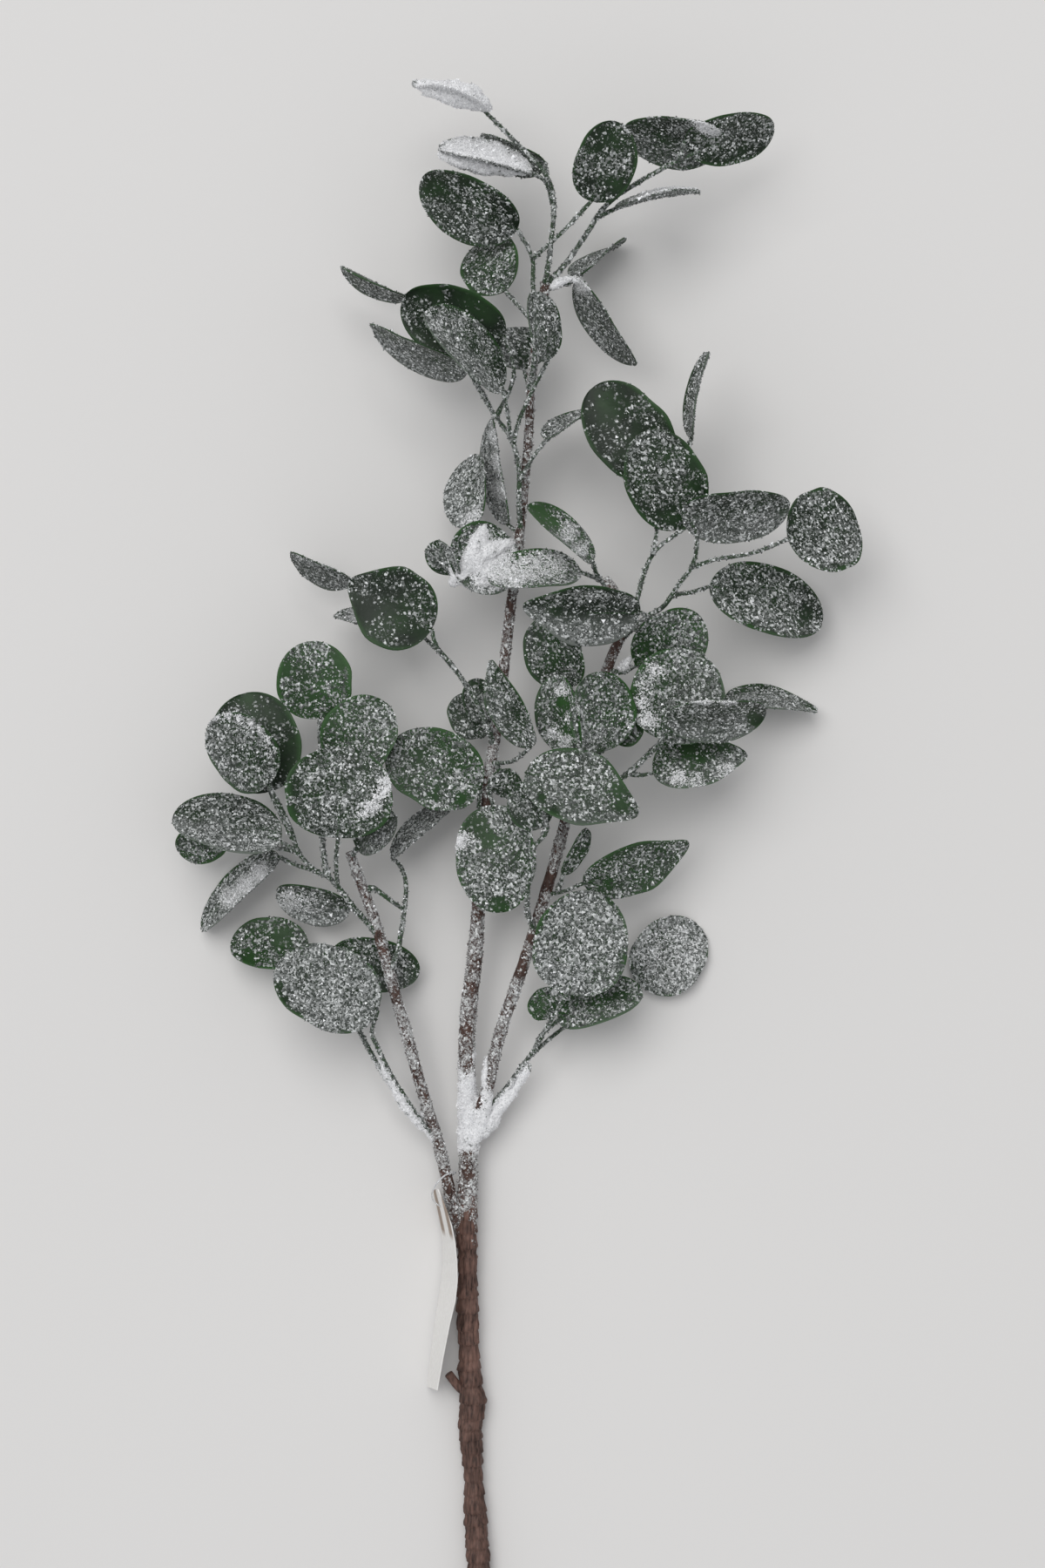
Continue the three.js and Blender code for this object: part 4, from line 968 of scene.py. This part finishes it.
class Shader:
    """A material under construction."""

    def __init__(self, name):
        self.material = bpy.data.materials.new(name)
        self.material.use_nodes = True
        self.tree = self.material.node_tree
        self.surface = self.tree.nodes["Principled BSDF"]
        self.coords = self.node("ShaderNodeTexCoord").outputs["Object"]

    def node(self, kind, inputs=None, **settings):
        made = self.tree.nodes.new(kind)
        for key, value in settings.items():
            setattr(made, key, value)
        for key, value in (inputs or {}).items():
            self.feed(made.inputs[key], value)
        return made

    def feed(self, socket, value):
        if isinstance(value, bpy.types.NodeSocket):
            self.tree.links.new(value, socket)
        elif isinstance(value, tuple) and len(value) == 3 and socket.type == "RGBA":
            socket.default_value = (*value, 1)
        else:
            socket.default_value = value

    def out(self, kind, inputs, index=0, **settings):
        """The value that a new node gives."""
        return self.node(kind, inputs, **settings).outputs[index]

    def math(self, operation, first, second=0.0, clamp=False):
        return self.out("ShaderNodeMath", {0: first, 1: second}, operation=operation, use_clamp=clamp)

    def times(self, first, second):
        return self.math("MULTIPLY", first, second)

    def speckle(self, value, pick, sharpness, middle=0.5):
        """Fills the cells whose pick is below value, with a soft edge."""
        inputs = {0: self.math("SUBTRACT", value, pick), 1: sharpness, 2: middle}
        return self.out("ShaderNodeMath", inputs, operation="MULTIPLY_ADD", use_clamp=True)

    def mix(self, factor, first, second):
        """A colour between two."""
        return self.out("ShaderNodeMix", {0: factor, 6: first, 7: second}, 2, data_type="RGBA")

    def blend(self, factor, first, second):
        """A number between two."""
        return self.out("ShaderNodeMix", {0: factor, 2: first, 3: second}, data_type="FLOAT")

    def ramp(self, value, low, high):
        """From 0 at low to 1 at high."""
        inputs = {"Value": value, "From Min": low, "From Max": high}
        return self.out("ShaderNodeMapRange", inputs, clamp=True)

    def noise(self, scale, detail=2.0, coords=None):
        inputs = {"Vector": coords or self.coords, "Scale": scale, "Detail": detail}
        return self.out("ShaderNodeTexNoise", inputs)

    def channels(self, colour):
        return list(self.node("ShaderNodeSeparateColor", {0: colour}).outputs)

    def cells(self, scale):
        """Two random values for each cell, and the distance from its middle."""
        made = self.node("ShaderNodeTexVoronoi", {"Vector": self.coords, "Scale": scale})
        first, second, _ = self.channels(made.outputs["Color"])
        return first, second, made.outputs["Distance"]

    def frost(self):
        """The four frost values of the mesh."""
        made = self.node("ShaderNodeAttribute", attribute_name="frost")
        return *self.channels(made.outputs["Color"]), made.outputs["Alpha"]

    def stretched(self, *scale):
        """Coordinates with a scale of their own along each axis."""
        return self.out("ShaderNodeVectorMath", {0: self.coords, 1: scale}, operation="MULTIPLY")

    def finish(self, colour, roughness, height, strength, distance, **fixed):
        """The material with its colour, its roughness and its fine relief."""
        self.feed(self.surface.inputs["Base Color"], colour)
        self.feed(self.surface.inputs["Roughness"], roughness)
        for key, value in fixed.items():
            self.surface.inputs[key.replace("_", " ")].default_value = value
        relief = {"Height": height, "Strength": strength, "Distance": distance}
        self.feed(self.surface.inputs["Normal"], self.out("ShaderNodeBump", relief))
        return self.material


def crusted(name, under, under_roughness, dark_grain, skew):
    """Plastic under a crust of grains. Under makes the colour and relief of the plastic.

    Skew above 1 makes more of the grains dark.
    """
    shader = Shader(name)
    cover, snow, green, pale = shader.frost()
    pick, tone, away = shader.cells(GRAIN_CELLS)
    fine_pick, fine_tone, _ = shader.cells(FINE_CELLS)
    grains = shader.speckle(cover, pick, 8.0)
    fine = shader.speckle(shader.times(cover, 0.8), fine_pick, 6.0, 0.0)
    crust = shader.math("MAXIMUM", grains, shader.times(fine, 0.55))
    crust = shader.times(crust, shader.ramp(cover, 0.0, 0.05))
    plastic, relief = under(shader, green)
    plastic = shader.mix(shader.times(pale, 0.85), plastic, PALE_PLASTIC)
    grain_colour = shader.mix(shader.math("POWER", tone, skew), dark_grain, WHITE_GRAIN)
    colour = shader.mix(crust, plastic, grain_colour)
    flecks = shader.speckle(snow, fine_pick, 5.0)
    flecks = shader.times(flecks, shader.ramp(snow, 0.02, 0.12))
    colour = shader.mix(flecks, colour, shader.mix(fine_tone, SNOW_DARK, SNOW_LIGHT))
    roughness = shader.blend(crust, under_roughness, 0.62)
    rise = shader.times(crust, shader.math("SUBTRACT", 1.0, away))
    height = shader.math("ADD", rise, relief)
    return shader.finish(colour, roughness, height, 0.7, 0.0006, Specular_IOR_Level=0.28)


def green_plastic(shader, green):
    """Moulded leaf plastic, mottled between a darker and a lighter green."""
    mottled = shader.times(shader.math("SUBTRACT", shader.noise(95.0, 3.0), 0.5), 0.9)
    tint = shader.math("ADD", green, mottled, clamp=True)
    relief = shader.times(shader.noise(420.0), 0.35)
    return shader.mix(tint, (0.006, 0.014, 0.006), (0.027, 0.08, 0.02)), relief


def brown_plastic(shader, light):
    """Moulded brown bark plastic: darker grooves along it and dry lighter streaks."""
    streaks = shader.noise(1.0, 4.0, shader.stretched(900.0, 150.0, 900.0))
    patches = shader.noise(130.0, 3.0)
    tint = shader.math("ADD", shader.times(streaks, 0.85), shader.times(patches, 0.4))
    tint = shader.times(shader.ramp(tint, 0.42, 0.8), light)
    relief = shader.times(streaks, 1.5)
    return shader.mix(tint, (0.03, 0.017, 0.0135), (0.205, 0.115, 0.091)), relief


def grain_material(name, dark_grain, skew):
    """Clear and white grains; the glint grains are coloured near-white as a painted sparkle highlight.
    """
    shader = Shader(name)
    tone, snow, glint, _ = shader.frost()
    colour = shader.mix(shader.math("POWER", tone, skew), dark_grain, WHITE_GRAIN)
    colour = shader.mix(shader.times(snow, 0.8), colour, SNOWY_GRAIN)
    # Painted highlight: the glint grains take a near-white colour that stands in for their sparkle.
    painted_glint = shader.ramp(glint, 0.95, 0.965)
    colour = shader.mix(painted_glint, colour, PAINTED_GLINT)
    roughness = shader.blend(painted_glint, 0.42, 0.12)
    cloudy = shader.noise(2600.0, 1.0)
    return shader.finish(colour, roughness, cloudy, 0.15, 0.0002)


def card_material():
    """Blank card: a little grey fibre, and thin brown lines along the edges of its upper end, the card's
    kraft edge partly darkened as painted shade.
    """
    shader = Shader("blank_card")
    fibre = shader.noise(1.0, 3.0, shader.stretched(2200.0, 500.0, 900.0))
    split = shader.node("ShaderNodeSeparateXYZ", {0: shader.coords})
    x, y = split.outputs[0], split.outputs[1]
    low, high = (at((510, row, CARD_HEIGHT))[1] * MM for row in CARD_ROWS)
    edges = 0.0
    for start, end in CARD_LINES:
        first, last = (at((*place, CARD_HEIGHT)) * MM for place in (start, end))
        slope = (last[0] - first[0]) / (last[1] - first[1])
        line = shader.math("ADD", shader.times(y, slope), first[0] - slope * first[1])
        away = shader.math("ABSOLUTE", shader.math("SUBTRACT", x, line))
        edges = shader.math("MAXIMUM", edges, shader.ramp(away, 0.0011, 0.0006))
    # Brown along the two edge lines, towards the card's upper end only: the card's kraft-brown edge, its
    # darkness partly painted shade.
    kraft_edge_and_shade = shader.times(shader.times(shader.ramp(y, low, high), edges), 0.85)
    paper = shader.mix(fibre, (0.7, 0.685, 0.66), (0.88, 0.87, 0.85))
    brown = shader.mix(fibre, (0.16, 0.1, 0.06), (0.3, 0.2, 0.13))
    return shader.finish(shader.mix(kraft_edge_and_shade, paper, brown), 0.72, fibre, 0.2, 0.0002)


def wire_material():
    """Drawn steel wire, dull, with fine marks along it."""
    shader = Shader("drawn_wire")
    marks = shader.noise(1.0, 3.0, shader.stretched(5000.0, 260.0, 5000.0))
    colour = shader.mix(marks, (0.3, 0.29, 0.28), (0.55, 0.54, 0.52))
    return shader.finish(colour, shader.blend(marks, 0.28, 0.5), marks, 0.2, 0.0001, Metallic=0.9)


def thread_material():
    """Clear nylon thread, which shows mostly by its glints."""
    shader = Shader("clear_thread")
    cloudy = shader.noise(900.0, 2.0)
    colour = shader.mix(cloudy, (0.8, 0.82, 0.84), (0.95, 0.96, 0.97))
    roughness = shader.blend(cloudy, 0.1, 0.22)
    return shader.finish(
        colour, roughness, cloudy, 0.1, 0.0001, Transmission_Weight=0.55, IOR=1.5
    )


def floor_material():
    """A matt pale surface with a very faint unevenness."""
    shader = Shader("pale_floor")
    colour = shader.mix(shader.noise(1.6, 2.0), FLOOR_DARK, FLOOR_LIGHT)
    return shader.finish(colour, 0.9, shader.noise(160.0, 3.0), 0.05, 0.0005)


def place_camera():
    """Straight above the middle of the view, as high as the view was taken from."""
    data = bpy.data.cameras.new("view")
    data.lens = CAMERA_LENS
    data.sensor_width = SENSOR
    data.clip_end = CLIP_END
    camera = add_object("view", data)
    x, y, _ = at((*VIEW_CENTRE, 0.0))
    camera.location = (x * MM, y * MM, VIEW_HEIGHT * MM)
    bpy.context.scene.camera = camera


def place_lights():
    """A large soft light from the tip's side, slightly left, and an even pale surround."""
    data = bpy.data.lights.new("window", "AREA")
    data.shape = "RECTANGLE"
    data.size, data.size_y = WINDOW_SIZE
    data.energy = WINDOW_POWER
    data.color = WINDOW_COLOUR
    window = add_object("window", data)
    window.location = WINDOW_PLACE
    aim = Vector(WINDOW_AIM) - window.location
    window.rotation_euler = aim.to_track_quat("-Z", "Y").to_euler()
    world = bpy.data.worlds.new("surround")
    world.use_nodes = True
    background = world.node_tree.nodes["Background"]
    background.inputs["Color"].default_value = SURROUND_COLOUR
    background.inputs["Strength"].default_value = SURROUND_STRENGTH
    bpy.context.scene.world = world


def place_floor():
    """A flat square that the spray lies on."""
    mesh = bpy.data.meshes.new("floor")
    corners = [(-1, -1), (1, -1), (1, 1), (-1, 1)]
    corners = [(x * FLOOR_REACH, y * FLOOR_REACH, 0) for x, y in corners]
    mesh.from_pydata(corners, [], [(0, 1, 2, 3)])
    mesh.materials.append(floor_material())
    add_object("floor", mesh)


def make_leaves(material, grain):
    """The stalks and leaves, gathered by the CAD node that each is part of."""
    builds = {}
    for index, (name, places) in enumerate(STALKS.items()):
        build = builds.setdefault(name, Build())
        ends = [leaf.base for leaf in LEAVES if leaf.joined == name and not leaf.petiole]
        stalk(all_at([*places, *ends]), STALK_RADIUS, build, STALK_LOOK, STALK_SEED + index)
        if name == "bare_twig":
            stalk(all_at(SIDE_TWIG), STALK_RADIUS, build, SIDE_TWIG_LOOK, TWIG_SEED)
    for index, leaf in enumerate(LEAVES):
        random = np.random.default_rng(SEED + index)
        build = builds.setdefault(leaf.joined or "leaf_" + leaf.name, Build())
        if leaf.petiole:
            path = all_at([*leaf.petiole, leaf.base])
            stalk(path, PETIOLE_RADIUS, build, PETIOLE_LOOK, PETIOLE_SEED + index)
        midrib(leaf, build)
        blade(leaf, build, random)
    for index, (name, build) in enumerate(sorted(builds.items())):
        piece = make_piece(name + "_frosted", build, material, grain, index)
        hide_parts(name)


def make_stems(material, grain):
    """The brown stems, and the stub on the trunk."""
    for index, name in enumerate(STEMS):
        random = np.random.default_rng(SEED + STEM_SEED + index)
        build = Build()
        stem(name, build, random, BARK_SEED + 10 * index)
        if name == "main_stem":
            line, directions, run, _ = evenly(all_at(STUB), 0.8)
            rings = tube_rings(line, directions, STUB_RADIUS * (1 + 0.3 * np.exp(-run / 4)), 14)
            build.skin(rings, frost_values(np.zeros(rings.shape[:2]), 0, 1, 0))
        piece = make_piece(name + "_bark", build, material, grain, STEM_GRAIN_SEED + index)
        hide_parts(name)


def make_spray():
    """The whole spray, with its snow."""
    leafy = crusted("frosted_leaf", green_plastic, 0.48, (0.04, 0.05, 0.042), 2.0)
    brown = crusted("frosted_bark", brown_plastic, 0.6, (0.09, 0.07, 0.066), 1.3)
    grain = grain_material("frost_grains", (0.055, 0.066, 0.058), 2.0)
    bark_grain = grain_material("frost_grains_on_bark", (0.12, 0.1, 0.095), 1.2)
    make_leaves(leafy, grain)
    make_stems(brown, bark_grain)
    for index, (name, lines) in enumerate(CLUMPS.items()):
        clump(name, lines, CLUMP_SEED + 10 * index, leafy, grain)


def dress_nodes():
    """Materials for the CAD nodes that stay."""
    for name, made in (
        ("hang_tag", card_material()),
        ("stem_wire", wire_material()),
        ("tag_loop", thread_material()),
    ):
        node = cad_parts[name]
        node.data.materials.clear()
        node.data.materials.append(made)


bpy.context.scene.view_settings.view_transform = "Standard"
place_camera()
place_lights()
place_floor()
make_spray()
dress_nodes()
